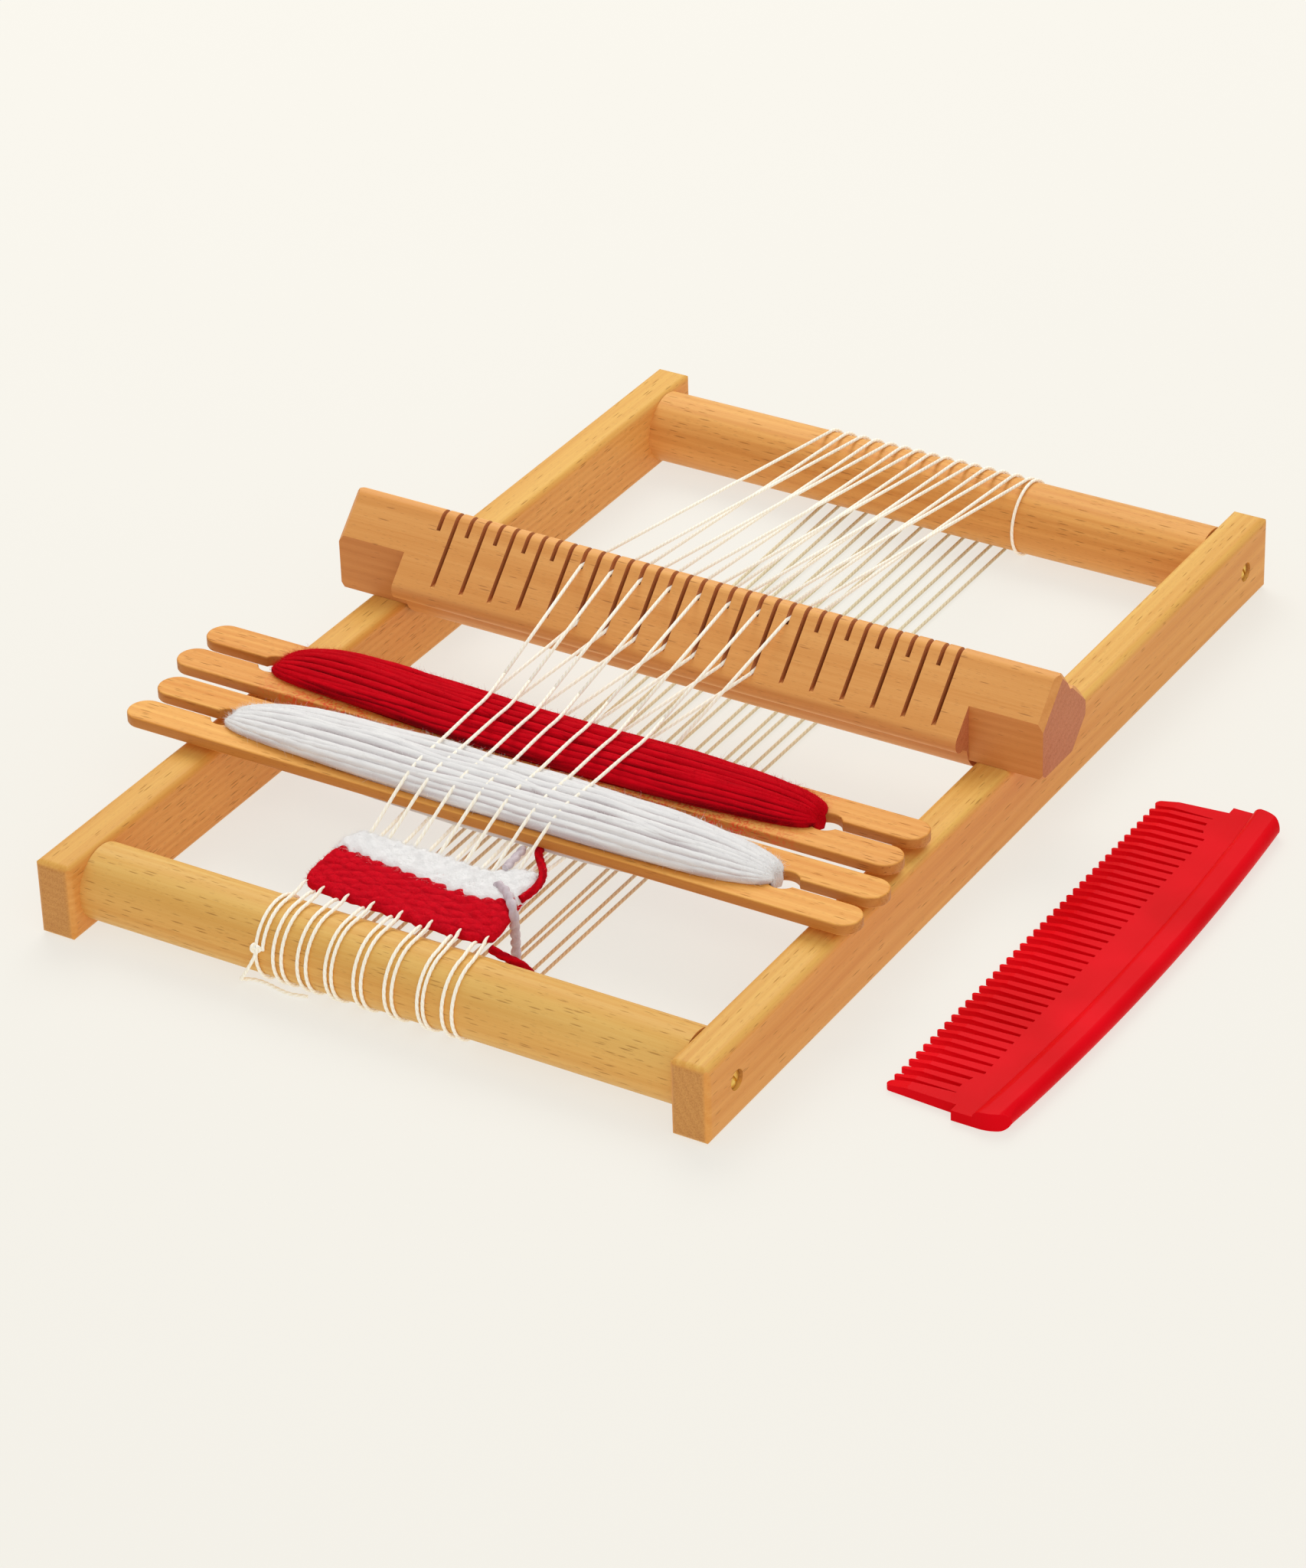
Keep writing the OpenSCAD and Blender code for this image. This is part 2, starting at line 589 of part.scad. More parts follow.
placed() left_rail();
placed() right_rail();
placed() front_beam();
placed() back_beam();
placed() front_left_screw();
placed() front_right_screw();
placed() back_left_screw();
placed() back_right_screw();
placed() heddle_bar();
placed() warp();
placed() front_warp_tie();
placed() back_warp_tie();
placed() warp_tail();
placed() red_cloth();
placed() white_cloth();
placed() red_start_tail();
placed() white_weft_tail();
placed() red_weft_yarn();
placed() white_weft_yarn();
placed() red_shuttle();
placed() red_yarn_core();
placed() red_yarn();
placed() white_shuttle();
placed() white_yarn_core();
placed() white_yarn();
placed() comb();
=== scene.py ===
"""Looks of a small table weaving frame: oiled beech, brass screws, a cotton warp,
a started piece of red and white weaving, two wound stick shuttles and a red comb.

Shapes are worked out in millimetres from the middle of the frame, as in the
part's source, and metres() turns them into the row frame.
"""
import math

import bmesh
import bpy
import numpy as np
from mathutils import Matrix


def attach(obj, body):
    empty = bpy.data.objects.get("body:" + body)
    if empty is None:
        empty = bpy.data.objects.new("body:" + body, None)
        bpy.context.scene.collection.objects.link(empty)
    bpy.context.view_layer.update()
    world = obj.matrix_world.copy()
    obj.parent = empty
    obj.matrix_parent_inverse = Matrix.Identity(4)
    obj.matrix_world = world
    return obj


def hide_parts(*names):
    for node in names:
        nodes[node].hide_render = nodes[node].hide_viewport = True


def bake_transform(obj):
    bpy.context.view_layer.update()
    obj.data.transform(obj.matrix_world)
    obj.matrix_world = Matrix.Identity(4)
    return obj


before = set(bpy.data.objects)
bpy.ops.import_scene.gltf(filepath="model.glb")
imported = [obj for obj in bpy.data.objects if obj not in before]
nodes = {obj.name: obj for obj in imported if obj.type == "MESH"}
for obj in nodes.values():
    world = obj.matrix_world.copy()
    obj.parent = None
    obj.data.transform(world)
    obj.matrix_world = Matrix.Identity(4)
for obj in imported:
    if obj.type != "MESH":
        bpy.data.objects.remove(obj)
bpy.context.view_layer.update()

SHIFT = -26.734705
THREAD_R = 0.6
BEAM_R = 13.3
BEAM_Y = 182.0
BEAM_Z = 14.7
WEB_Z = 28.676
FELL_Y = -135.0
YAW = math.radians(0.2)
TURN = 2.0 * math.pi


def metres(p):
    """Millimetres from the frame's middle to metres in the row frame."""
    return (np.asarray(p, float) + [SHIFT, 0.0, 0.0]) / 1000.0


# Camera: placed where the photograph was taken from, level horizon.
def make_camera():
    forward = np.array([-0.45073, 0.72382, -0.52242])
    right = np.array([0.85762, 0.51349, -0.02850])
    up = np.array([-0.24763, 0.46089, 0.85221])
    data = bpy.data.cameras.new("camera")
    data.lens = 147.38
    data.sensor_width = 36.0
    data.sensor_fit = "HORIZONTAL"
    data.clip_start = 0.05
    data.clip_end = 20.0
    cam = bpy.data.objects.new("camera", data)
    bpy.context.scene.collection.objects.link(cam)
    place = metres([829.886, -1352.577, 959.252])
    m = np.eye(4)
    m[:3, 0], m[:3, 1], m[:3, 2], m[:3, 3] = right, up, -forward, place
    cam.matrix_world = Matrix(m.tolist())
    bpy.context.scene.camera = cam


make_camera()


# Shader maths.
def colour(code):
    """Hex sRGB code to linear RGBA."""
    c = np.array([int(code[i:i + 2], 16) for i in (1, 3, 5)]) / 255.0
    c = np.where(c <= 0.04045, c / 12.92, ((c + 0.055) / 1.055) ** 2.4)
    return (*c.tolist(), 1.0)


class Socket:
    """A shader socket that takes part in Python sums."""

    def __init__(self, finish, socket):
        self.finish, self.socket = finish, socket

    def math(self, operation, *values):
        return self.finish.node("ShaderNodeMath", {"operation": operation}, dict(enumerate(values)))

    def __add__(self, other):
        return self.math("ADD", self, other)

    def __sub__(self, other):
        return self.math("SUBTRACT", self, other)

    def __rsub__(self, other):
        return self.math("SUBTRACT", other, self)

    def __mul__(self, other):
        return self.math("MULTIPLY", self, other)

    def __truediv__(self, other):
        return self.math("DIVIDE", self, other)

    def __gt__(self, other):
        return self.math("GREATER_THAN", self, other)

    def __lt__(self, other):
        return self.math("LESS_THAN", self, other)

    __radd__, __rmul__ = __add__, __mul__

    def abs(self):
        return self.math("ABSOLUTE", self)

    def sin(self):
        return self.math("SINE", self)

    def cos(self):
        return self.math("COSINE", self)

    def root(self):
        return self.math("SQRT", self)

    def fraction(self):
        return self.math("FRACT", self)

    def clamp(self, low=0.0, high=1.0):
        return self.math("MINIMUM", self.math("MAXIMUM", self, low), high)

    def step(self, low, high):
        """0 below low, 1 above high, straight between."""
        return ((self - low) / (high - low)).clamp()

    def part(self, axis):
        return self.finish.node("ShaderNodeSeparateXYZ", {}, {0: self}, axis)

    def output(self, index):
        """Another output of the same shader node."""
        return Socket(self.finish, self.socket.node.outputs[index])


class Finish:
    """One material with a Principled shader, built node by node."""

    def __init__(self, name):
        self.material = bpy.data.materials.new(name)
        self.material.use_nodes = True
        self.tree = self.material.node_tree
        self.tree.nodes.clear()
        self.shader = self.tree.nodes.new("ShaderNodeBsdfPrincipled")
        end = self.tree.nodes.new("ShaderNodeOutputMaterial")
        self.tree.links.new(self.shader.outputs[0], end.inputs[0])

    def node(self, kind, settings=None, inputs=None, out=0):
        n = self.tree.nodes.new(kind)
        for key, value in (settings or {}).items():
            setattr(n, key, value)
        for key, value in (inputs or {}).items():
            if isinstance(value, Socket):
                self.tree.links.new(value.socket, n.inputs[key])
            else:
                n.inputs[key].default_value = value
        return Socket(self, n.outputs[out])

    def set(self, **values):
        for key, value in values.items():
            target = self.shader.inputs[key.replace("_", " ")]
            if isinstance(value, Socket):
                self.tree.links.new(value.socket, target)
            else:
                target.default_value = value
        return self

    def place(self):
        return self.node("ShaderNodeTexCoord", out=3)

    def uv(self):
        return self.node("ShaderNodeTexCoord", out=2)

    def normal(self):
        return self.node("ShaderNodeNewGeometry", out=1)

    def scaled(self, vector, scale, turn=(0.0, 0.0, 0.0), move=(0.0, 0.0, 0.0)):
        return self.node("ShaderNodeMapping", {}, {0: vector, 1: move, 2: turn, 3: scale})

    def noise(self, vector, scale, detail=2.0, rough=0.5, distort=0.0):
        return self.node("ShaderNodeTexNoise", {}, {
            "Vector": vector, "Scale": scale, "Detail": detail, "Roughness": rough, "Distortion": distort})

    def spots(self, vector, share, small, large):
        """Soft round spots, one in a share of the cells of a jittered grid. The
        spot radius lies between small and large, in cells."""
        cell = self.node("ShaderNodeTexVoronoi", {}, {"Vector": vector, "Scale": 1.0, "Randomness": 0.85})
        chance = cell.output(1)
        radius = chance.part(1) * (large - small) + small
        return ((radius - cell) / (radius * 0.5)).clamp() * (chance.part(0) < share)

    def mix(self, amount, a, b):
        return self.node("ShaderNodeMix", {"data_type": "RGBA"}, {0: amount, 6: a, 7: b}, 2)

    def bump(self, height, distance, strength=1.0):
        return self.node("ShaderNodeBump", {}, {"Height": height, "Distance": distance, "Strength": strength})


def beech(name, grain, light, dark, side, ends, fleck, heart, turn=0.0, marks=0.2, slots=False, tinge=False):
    """Oiled beech whose grain runs along one axis (grain). Growth rings are
    circles round a far heart line; streaks, pores and the short dark flecks are
    stretched along the grain; faces cut across it show the rings and dots.
    Upright faces take the side colours, darker and more orange than the tops:
    painted shade and warm bounce light."""
    f = Finish(name)
    p = f.scaled(f.place(), (1.0, 1.0, 1.0), (0.0, 0.0, turn))

    def along(run, cross):
        return f.scaled(p, (run, cross, cross) if grain == 0 else (cross, run, cross))

    bend = (f.noise(along(4.0, 30.0), 1.0, 2.0) - 0.5) * 0.012
    a = p.part(1 - grain) - heart[0] + bend
    b = p.part(2) - heart[1]
    ring = ((a * a + b * b).root() * (TURN / 0.0031)).sin() * 0.5 + 0.5
    bands = f.noise(along(3.5, 60.0), 1.0, 3.0, 0.55, 0.5).step(0.36, 0.66)
    streaks = f.noise(along(16.0, 1100.0), 1.0, 4.0, 0.65).step(0.34, 0.68)
    fine = f.spots(along(300.0, 2300.0), 0.55, 0.16, 0.4)
    flecks = f.spots(along(105.0, 1150.0), marks, 0.12, 0.34)
    face = f.normal()
    side_shade_mask = 1.0 - face.part(2).abs().step(0.25, 0.85)
    end = face.part(grain).abs().step(0.8, 0.96)
    tone = (bands * 0.4 + ring * 0.25 + streaks * 0.35).clamp()
    base = f.mix(tone, colour(dark), colour(light))
    # Painted shade and bounce light: upright faces are darker and more orange than the tops.
    base = f.mix(side_shade_mask * 0.75, base, f.mix(tone, colour(side[0]), colour(side[1])))
    base = f.mix(fine * 0.22, base, colour(fleck))
    base = f.mix(flecks * 0.55, base, colour(fleck))
    dots = f.noise(p, 1700.0, 2.0).step(0.42, 0.66)
    # End grain is darker: partly the end grain's own tone, partly painted shade.
    cut = f.mix((ring * 0.16 + dots * 0.5 + bands * 0.2).clamp(), colour(ends[1]), colour(ends[0]))
    base = f.mix(end, base, cut)
    height = streaks * 0.35 - flecks * 0.9 - fine * 0.25
    if slots:
        # Painted shade in the saw cuts: the material nearer to a slot's middle than its half width
        # and deeper than half a millimetre under the flat face gets a browner colour.
        x = (p.part(0) - (SHIFT - 102.375) / 1000.0) * (1.0 / 0.00585)
        slot_shade = ((x + 0.5).fraction() - 0.5).abs() < 0.152
        depth = (p.part(1) - 0.0015) * 0.7071 - (p.part(2) - 0.051) * 0.7071
        reach = ((p.part(2) > 0.0425) + (p.part(1) > 0.0074)).clamp()
        slot_shade = slot_shade * depth.step(0.0004, 0.0009) * reach * (x > -0.4) * (x < 35.4)
        base = f.mix(slot_shade * (0.75 + streaks * 0.2), base, colour("#d58c50"))
    if tinge:
        # Red fluff that clings to the wood beside the winding.
        near = 1.0 - (p.part(0) + 0.0407).abs().step(0.085, 0.112)
        fluff = f.noise(p, 1300.0, 3.0).step(0.44, 0.58) * f.noise(p, 170.0, 2.0).step(0.34, 0.54)
        base = f.mix(fluff * near * 0.8, base, colour("#e2381f"))
    rough = 0.44 + streaks * 0.1 + flecks * 0.2
    f.set(Base_Color=base, Roughness=rough, Normal=f.bump(height, 0.00022, 0.35),
          Specular_IOR_Level=0.18, Coat_Weight=0.04, Coat_Roughness=0.4)
    return f.material


def plied_wool(name, main, deep, turns, plies, bump=0.0005):
    """Plied wool of the loose ends: its twist runs round the strand by the UV map, and the grooves between the plies
    are darker as painted shade.
    """
    f = Finish(name)
    uv = f.uv()
    p = f.place()
    fibre = f.noise(p, 2400.0, 4.0, 0.65)
    clumps = f.noise(p, 420.0, 3.0, 0.6, 0.4)
    twist = ((uv.part(0) * turns + uv.part(1) * plies) * TURN).sin() * 0.5 + 0.5
    # The twist's share of the tone is painted shade in the grooves between the plies.
    tone = (clumps.step(0.3, 0.7) * 0.35 + fibre.step(0.3, 0.75) * 0.25 + twist * 0.4).clamp()
    height = twist * 0.7 + clumps * 0.4 + fibre * 0.4
    f.set(Base_Color=f.mix(tone, colour(deep), colour(main)), Roughness=0.95,
          Normal=f.bump(height, bump, 0.7), Specular_IOR_Level=0.08)
    return f.material


def wound_wool(name, main, deep, crease_shade_colour, lines):
    """Wool side by side on a stick. Fibres run along the strands, and the joints
    between strands, where the strand's own turn (UV v) faces sideways, are
    darker here and there: painted shade between the strands."""
    f = Finish(name)
    p = f.scaled(f.place(), (1.0, 1.0, 1.0), (0.0, 0.0, -YAW))
    sideways = (f.uv().part(1) * TURN).cos().abs()
    broken = f.noise(f.scaled(p, (16.0, 240.0, 240.0)), 1.0, 2.0).step(0.4, 0.58)
    fibre = f.noise(f.scaled(p, (170.0, 1900.0, 1900.0)), 1.0, 4.0, 0.62)
    clumps = f.noise(f.scaled(p, (70.0, 460.0, 460.0)), 1.0, 3.0, 0.55, 0.4)
    tone = (fibre.step(0.3, 0.72) * 0.5 + clumps.step(0.3, 0.7) * 0.5).clamp()
    base = f.mix(tone, colour(deep), colour(main))
    # Painted shade in the joints between strands.
    joint_shade = sideways.step(0.62, 0.97) * (0.2 + broken * 0.8)
    base = f.mix(joint_shade * lines, base, colour(crease_shade_colour))
    f.set(Base_Color=base, Roughness=0.95, Normal=f.bump(fibre * 0.5 + clumps * 0.7, 0.0006, 0.6),
          Specular_IOR_Level=0.08)
    return f.material


def woven_wool(name, main, deep, pale, spot_share, painted_glow=0.0):
    """Wool of the cloth. The UV map carries the height of the weave, which turns
    the hollows darker as painted shade; a few pale spots are where the warp peeps through.
    A glow, when given, is painted light that brightens the cloth."""
    f = Finish(name)
    rise = f.uv().part(0)
    p = f.place()
    fibre = f.noise(p, 2300.0, 4.0, 0.65)
    clumps = f.noise(p, 520.0, 3.0, 0.6, 0.5)
    # The weave height's share of the tone is painted shade in the hollows.
    tone = (rise.step(0.0, 0.7) * 0.36 + clumps.step(0.3, 0.7) * 0.36 + fibre.step(0.3, 0.72) * 0.28).clamp()
    base = f.mix(tone, colour(deep), colour(main))
    base = f.mix(f.spots(f.scaled(p, (210.0, 210.0, 210.0)), spot_share, 0.05, 0.1) * 0.8, base, colour(pale))
    # The emission is painted light.
    f.set(Base_Color=base, Roughness=0.97, Normal=f.bump(clumps * 0.9 + fibre * 0.8, 0.0011, 0.8),
          Specular_IOR_Level=0.06, Emission_Color=base, Emission_Strength=painted_glow)
    return f.material


def cotton(name, deep, main, shade_behind=None):
    """Two-ply cotton warp: the twist lines run round the thread by its UV map, darker in their grooves as painted
    shade.
    The return thread near the table takes painted shade and warm light bounced from the wood, paler further back, past
    the sticks.
    A faint glow is painted light that brightens every thread."""
    f = Finish(name)
    uv = f.uv()
    p = f.place()
    twist = ((uv.part(0) * 420.0 + uv.part(1) * 2.0) * TURN).sin() * 0.5 + 0.5
    fibre = f.noise(p, 3200.0, 3.0, 0.6)
    worn = f.noise(p, 60.0, 2.0).step(0.35, 0.65)
    # The twist's share of the tone is painted shade in the grooves between the plies.
    tone = (twist * 0.45 + fibre.step(0.25, 0.75) * 0.4 + worn * 0.15).clamp()
    base = f.mix(tone, colour(deep), colour(main))
    if shade_behind:
        # Painted shade and bounce light: warmer tan in front, paler khaki past the sticks.
        base = f.mix(p.part(1).step(-0.1, -0.06), base, f.mix(tone, colour(shade_behind[0]), colour(shade_behind[1])))
    # The emission is painted light that brightens the thread.
    f.set(Base_Color=base, Roughness=0.9, Normal=f.bump(twist * 0.8 + fibre * 0.4, 0.00025, 0.4),
          Specular_IOR_Level=0.1, Emission_Color=base, Emission_Strength=0.12)
    return f.material


def fibre_finish(name, shade):
    """Loose fibres: one soft colour with a slight change from place to place."""
    f = Finish(name)
    tone = f.noise(f.place(), 90.0, 2.0)
    light = tuple(min(1.0, c * 1.2) for c in colour(shade)[:3]) + (1.0,)
    f.set(Base_Color=f.mix(tone, colour(shade), light), Roughness=0.95, Specular_IOR_Level=0.05)
    return f.material


def plastic():
    """Injection moulded red plastic: glossy, with a faint orange-peel surface."""
    f = Finish("red_gloss_plastic")
    p = f.place()
    peel = f.noise(p, 900.0, 2.0)
    wide = f.noise(p, 28.0, 2.0)
    base = f.mix(wide.step(0.3, 0.7), colour("#d8020f"), colour("#ec061a"))
    f.set(Base_Color=base, Roughness=0.3 + peel * 0.08, Normal=f.bump(peel, 0.00004, 0.4), IOR=1.1)
    return f.material


def brass():
    """Turned brass with a fine brushed grain and duller patches."""
    f = Finish("screw_brass")
    p = f.place()
    brushed = f.noise(f.scaled(p, (300.0, 4000.0, 900.0)), 1.0, 3.0)
    dull = f.noise(p, 350.0, 3.0).step(0.4, 0.65)
    base = f.mix(dull, colour("#f4cd62"), colour("#d9a543"))
    f.set(Base_Color=base, Metallic=0.8, Roughness=0.34 + brushed * 0.15 + dull * 0.1,
          Normal=f.bump(brushed, 0.00005, 0.4))
    return f.material


# Meshes from arrays.
def strip_faces(rows, cols, closed):
    """Quads of a grid of rows x cols points; closed joins the last column to the first."""
    k = np.arange(cols if closed else cols - 1)
    i = np.arange(rows - 1)[:, None]
    n = (k + 1) % cols
    return np.stack(np.broadcast_arrays(i * cols + k, i * cols + n, (i + 1) * cols + n, (i + 1) * cols + k),
                    axis=-1).reshape(-1, 4)


def make_piece(name, verts, faces, material, uv=None, caps=()):
    """A mesh object from points in millimetres, with quads, flat end caps and a UV map."""
    mesh = bpy.data.meshes.new(name)
    mesh.from_pydata(metres(verts).tolist(), [], faces.tolist() + [list(map(int, c)) for c in caps])
    if uv is not None:
        flatuv = np.zeros((len(mesh.loops), 2))
        flatuv[:len(uv)] = uv
        mesh.uv_layers.new(name="UVMap").data.foreach_set("uv", flatuv.ravel())
    mesh.polygons.foreach_set("use_smooth", np.arange(len(mesh.polygons)) < len(faces))
    mesh.materials.append(material)
    mesh.update()
    obj = bpy.data.objects.new(name, mesh)
    bpy.context.scene.collection.objects.link(obj)
    return obj


def smooth(points, step):
    """A curve through the points: cubic pieces whose slope at each point is that
    of its neighbours, with one sample about every step."""
    p = np.asarray(points, float)
    t = np.concatenate([[0.0], np.cumsum(np.linalg.norm(np.diff(p, axis=0), axis=1))])
    slope = np.gradient(p, t, axis=0)
    s = np.linspace(0.0, t[-1], max(3, int(round(t[-1] / step)) + 1))
    i = np.clip(np.searchsorted(t, s, side="right") - 1, 0, len(t) - 2)
    h = (t[i + 1] - t[i])[:, None]
    x = (s - t[i])[:, None] / h
    return ((2 * x**3 - 3 * x**2 + 1) * p[i] + (x**3 - 2 * x**2 + x) * h * slope[i]
            + (3 * x**2 - 2 * x**3) * p[i + 1] + (x**3 - x**2) * h * slope[i + 1])


def round_corners(points, passes=3):
    """Corner cutting: each pass puts two points a quarter and three quarters
    along every stretch, and keeps the ends."""
    p = np.asarray(points, float)
    for _ in range(passes):
        a, b = p[:-1], p[1:]
        cut = np.stack([0.75 * a + 0.25 * b, 0.25 * a + 0.75 * b], axis=1).reshape(-1, 3)
        p = np.vstack([p[:1], cut[1:-1], p[-1:]])
    return p


def sweep(path, radius, sides, ref, lobes=0.0, depth=0.0, pitch=1.0):
    """Rings round a path. A ring point is path + r (a cos v + b sin v), where a is
    ref made square to the path and b = path direction x a. With lobes, r shrinks
    by depth between the plies, which turn once every pitch of length."""
    p = np.asarray(path, float)
    d = np.gradient(p, axis=0)
    d /= np.linalg.norm(d, axis=1, keepdims=True)
    ref = np.asarray(ref, float)
    a = ref - d * (d @ ref)[:, None]
    a /= np.linalg.norm(a, axis=1, keepdims=True)
    b = np.cross(d, a)
    run = np.concatenate([[0.0], np.cumsum(np.linalg.norm(np.diff(p, axis=0), axis=1))])
    v = np.arange(sides) * 2 * np.pi / sides
    r = np.broadcast_to(np.asarray(radius, float).reshape(-1, 1), (len(p), sides))
    if lobes:
        r = r * (1 - depth * (1 - np.abs(np.cos(0.5 * lobes * (v[None] - 2 * np.pi * run[:, None] / pitch)))))
    ring = a[:, None] * np.cos(v)[None, :, None] + b[:, None] * np.sin(v)[None, :, None]
    return p[:, None] + r[..., None] * ring, run


def tubes(name, paths, radii, sides, ref, material, **ply):
    """Separate closed tubes along paths in one mesh, with length and turn as UV."""
    verts, faces, uvs, caps, base = [], [], [], [], 0
    for path, radius in zip(paths, radii):
        rings, run = sweep(path, radius, sides, ref, **ply)
        n = len(rings)
        i, k = np.divmod(np.arange((n - 1) * sides), sides)
        u0, u1 = run[i] / 1000.0, run[i + 1] / 1000.0
        v0, v1 = k / sides, (k + 1) / sides
        uvs.append(np.stack([np.stack(q, -1) for q in ((u0, v0), (u0, v1), (u1, v1), (u1, v0))], axis=1).reshape(-1, 2))
        verts.append(rings.reshape(-1, 3))
        faces.append(strip_faces(n, sides, True) + base)
        caps += [base + np.arange(sides)[::-1], base + (n - 1) * sides + np.arange(sides)]
        base += n * sides
    return make_piece(name, np.vstack(verts), np.vstack(faces), material, np.vstack(uvs), caps)


def fuzz(name, points, normals, count, length, radius, seed, material, body, lie=0.6):
    """Loose wool fibres: thin three-sided spikes that start on the surface, lean
    by lie towards it and curl. Fibre point = start + s (out + side s curl)."""
    rng = np.random.default_rng(seed)
    pick = rng.integers(0, len(points), count)
    start, out = points[pick], normals[pick]
    side = rng.normal(size=(count, 3))
    side -= out * np.sum(side * out, axis=1, keepdims=True)
    side /= np.linalg.norm(side, axis=1, keepdims=True)
    curl = rng.normal(size=(count, 3)) * 0.5
    long = length * rng.uniform(0.35, 1.0, (count, 1))
    s = np.linspace(0.0, 1.0, 5)
    lean = (out * (1 - lie) + side * lie)
    line = (start[:, None] - out[:, None] * 0.2 + s[None, :, None] * (long * lean)[:, None]
            + (s**2)[None, :, None] * (long * curl * 0.6)[:, None])
    width = radius * (1 - 0.8 * s)
    a = np.cross(lean, [0.31, 0.52, 0.79])
    a /= np.linalg.norm(a, axis=1, keepdims=True)
    b = np.cross(lean / np.linalg.norm(lean, axis=1, keepdims=True), a)
    v = np.arange(3) * 2 * np.pi / 3
    ring = a[:, None] * np.cos(v)[None, :, None] + b[:, None] * np.sin(v)[None, :, None]
    pts = line[:, :, None] + width[None, :, None, None] * ring[:, None]
    faces = (strip_faces(5, 3, True)[None] + (np.arange(count) * 15)[:, None, None]).reshape(-1, 4)
    obj = make_piece(name, pts.reshape(-1, 3), faces, material)
    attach(obj, body)
    return obj


# Finishes. Each side pair is painted shade and warm bounce light for upright faces; each end pair is darker end grain,
# partly its own tone and partly painted shade.
# Darker end-grain colours, partly the end grain's own tone and partly painted shade.
ENDS = ("#b47238", "#d69a54")
rail_wood = beech("rail_beech", 1, "#efc269", "#d99a45", ("#dc8c40", "#f0a85c"), ENDS, "#96602a", (-0.16, -0.11),
                  marks=0.5)
beam_wood = beech("beam_beech", 0, "#edc473", "#dba24b", ("#dc9a4a", "#f2bc68"), ENDS, "#96602a", (0.05, -0.13),
                  marks=0.85)
back_wood = beech("back_beam_beech", 0, "#f2b968", "#da944a", ("#d08640", "#eca85c"), ENDS, "#8f5722", (0.02, -0.1),
                  marks=0.8)
bar_wood = beech("heddle_beech", 0, "#f6b96e", "#e09a50", ("#c2763c", "#d68c4c"), ("#b4683e", "#cc8458"), "#9a5f33",
                 (0.09, -0.1), marks=0.3, slots=True)
# Stick sides: a scorched look and painted shade, darker than the tops.
stick_side_scorch_and_shade = ("#ab6429", "#c27a36")
white_stick_wood = beech("white_stick_beech", 0, "#f8bd66", "#de9039", stick_side_scorch_and_shade, ENDS, "#8e5018", (0.12, -0.16),
                         turn=-YAW, marks=0.7)
red_stick_wood = beech("red_stick_beech", 0, "#f4b562", "#d88a36", stick_side_scorch_and_shade, ENDS, "#7f4114", (0.14, -0.12),
                       turn=-YAW, marks=0.8, tinge=True)
red_ply = plied_wool("red_wool_ply", "#e00018", "#8a0010", 95.0, 3.0)
grey_ply = plied_wool("pale_wool_ply", "#e9dfe4", "#b5a4ad", 0.0, 2.0)
# The third colour of each wound wool is painted shade for the joints between strands.
red_wound = wound_wool("red_wound_wool", "#da0018", "#b00012", "#5c0008", 0.85)
white_wound = wound_wool("white_wound_wool", "#f4f4f3", "#dfdee0", "#bcabae", 0.75)
red_woven = woven_wool("red_woven_wool", "#f81028", "#bc0a1e", "#f3b8a8", 0.02)
# The white cloth glows a little: painted light that brightens it.
white_woven = woven_wool("white_woven_wool", "#ffffff", "#eceaea", "#ffffff", 0.0, 0.14)
thread = cotton("cotton_twist", "#efe5cc", "#fffef8")
# Painted shade and warm bounce light on the threads along the underside.
return_thread_shaded = cotton("cotton_return_shaded", "#c59a6e", "#edcfa6", ("#c8bd9c", "#ebe3c8"))
red_fibre = fibre_finish("red_fibre", "#d2061a")
white_fibre = fibre_finish("white_fibre", "#f2f2f2")
comb_plastic = plastic()
screw_metal = brass()

dress = {"left_rail": rail_wood, "right_rail": rail_wood, "front_beam": beam_wood, "back_beam": back_wood,
         "heddle_bar": bar_wood, "comb": comb_plastic,
         "front_left_screw": screw_metal, "front_right_screw": screw_metal,
         "back_left_screw": screw_metal, "back_right_screw": screw_metal}
for node_name, finish in dress.items():
    for slot_item in nodes[node_name].material_slots:
        slot_item.material = finish


# Loose ends: the warp's tail and the wool ends. Their points are the source's.
WARP_TAIL = np.array([
    [-42.4, -15, 16.9], [-43.2, -16.6, 14.2], [-45.2, -17, 10.5], [-48, -15.6, 6.5], [-50.6, -13, 3.2],
    [-51.4, -10.4, 1.4], [-50, -8.8, 0.85], [-46.5, -8.2, 0.8], [-42.5, -8.6, 0.8], [-38.5, -9.4, 0.8],
    [-34.5, -9.8, 0.8], [-31, -9.2, 0.8], [-28, -8.4, 0.8]]) + [0, -BEAM_Y, 0]
RED_TAIL = np.array([
    [31, -35.9, -2.08], [33.4, -34.6, -4.18], [36, -32.4, -6.68], [38.5, -29.7, -9.68], [40.5, -27, -14.68],
    [41.5, -25.5, -19.68], [42, -25, -24.68], [43.2, -23.9, -26.98]]) + [0, FELL_Y, WEB_Z]
WHITE_TAIL = np.array([
    [17.3, -9.7, 3.22], [20.5, -11.3, 3.52], [23.6, -13.5, 3.62], [26.6, -16.4, 3.62], [29.2, -19.2, 3.02],
    [30.3, -20.4, 0.52], [29.7, -19.4, -3.68], [28.9, -18.1, -8.68], [27.9, -16.7, -14.68],
    [27.9, -16.6, -20.28]]) + [0, FELL_Y, WEB_Z]
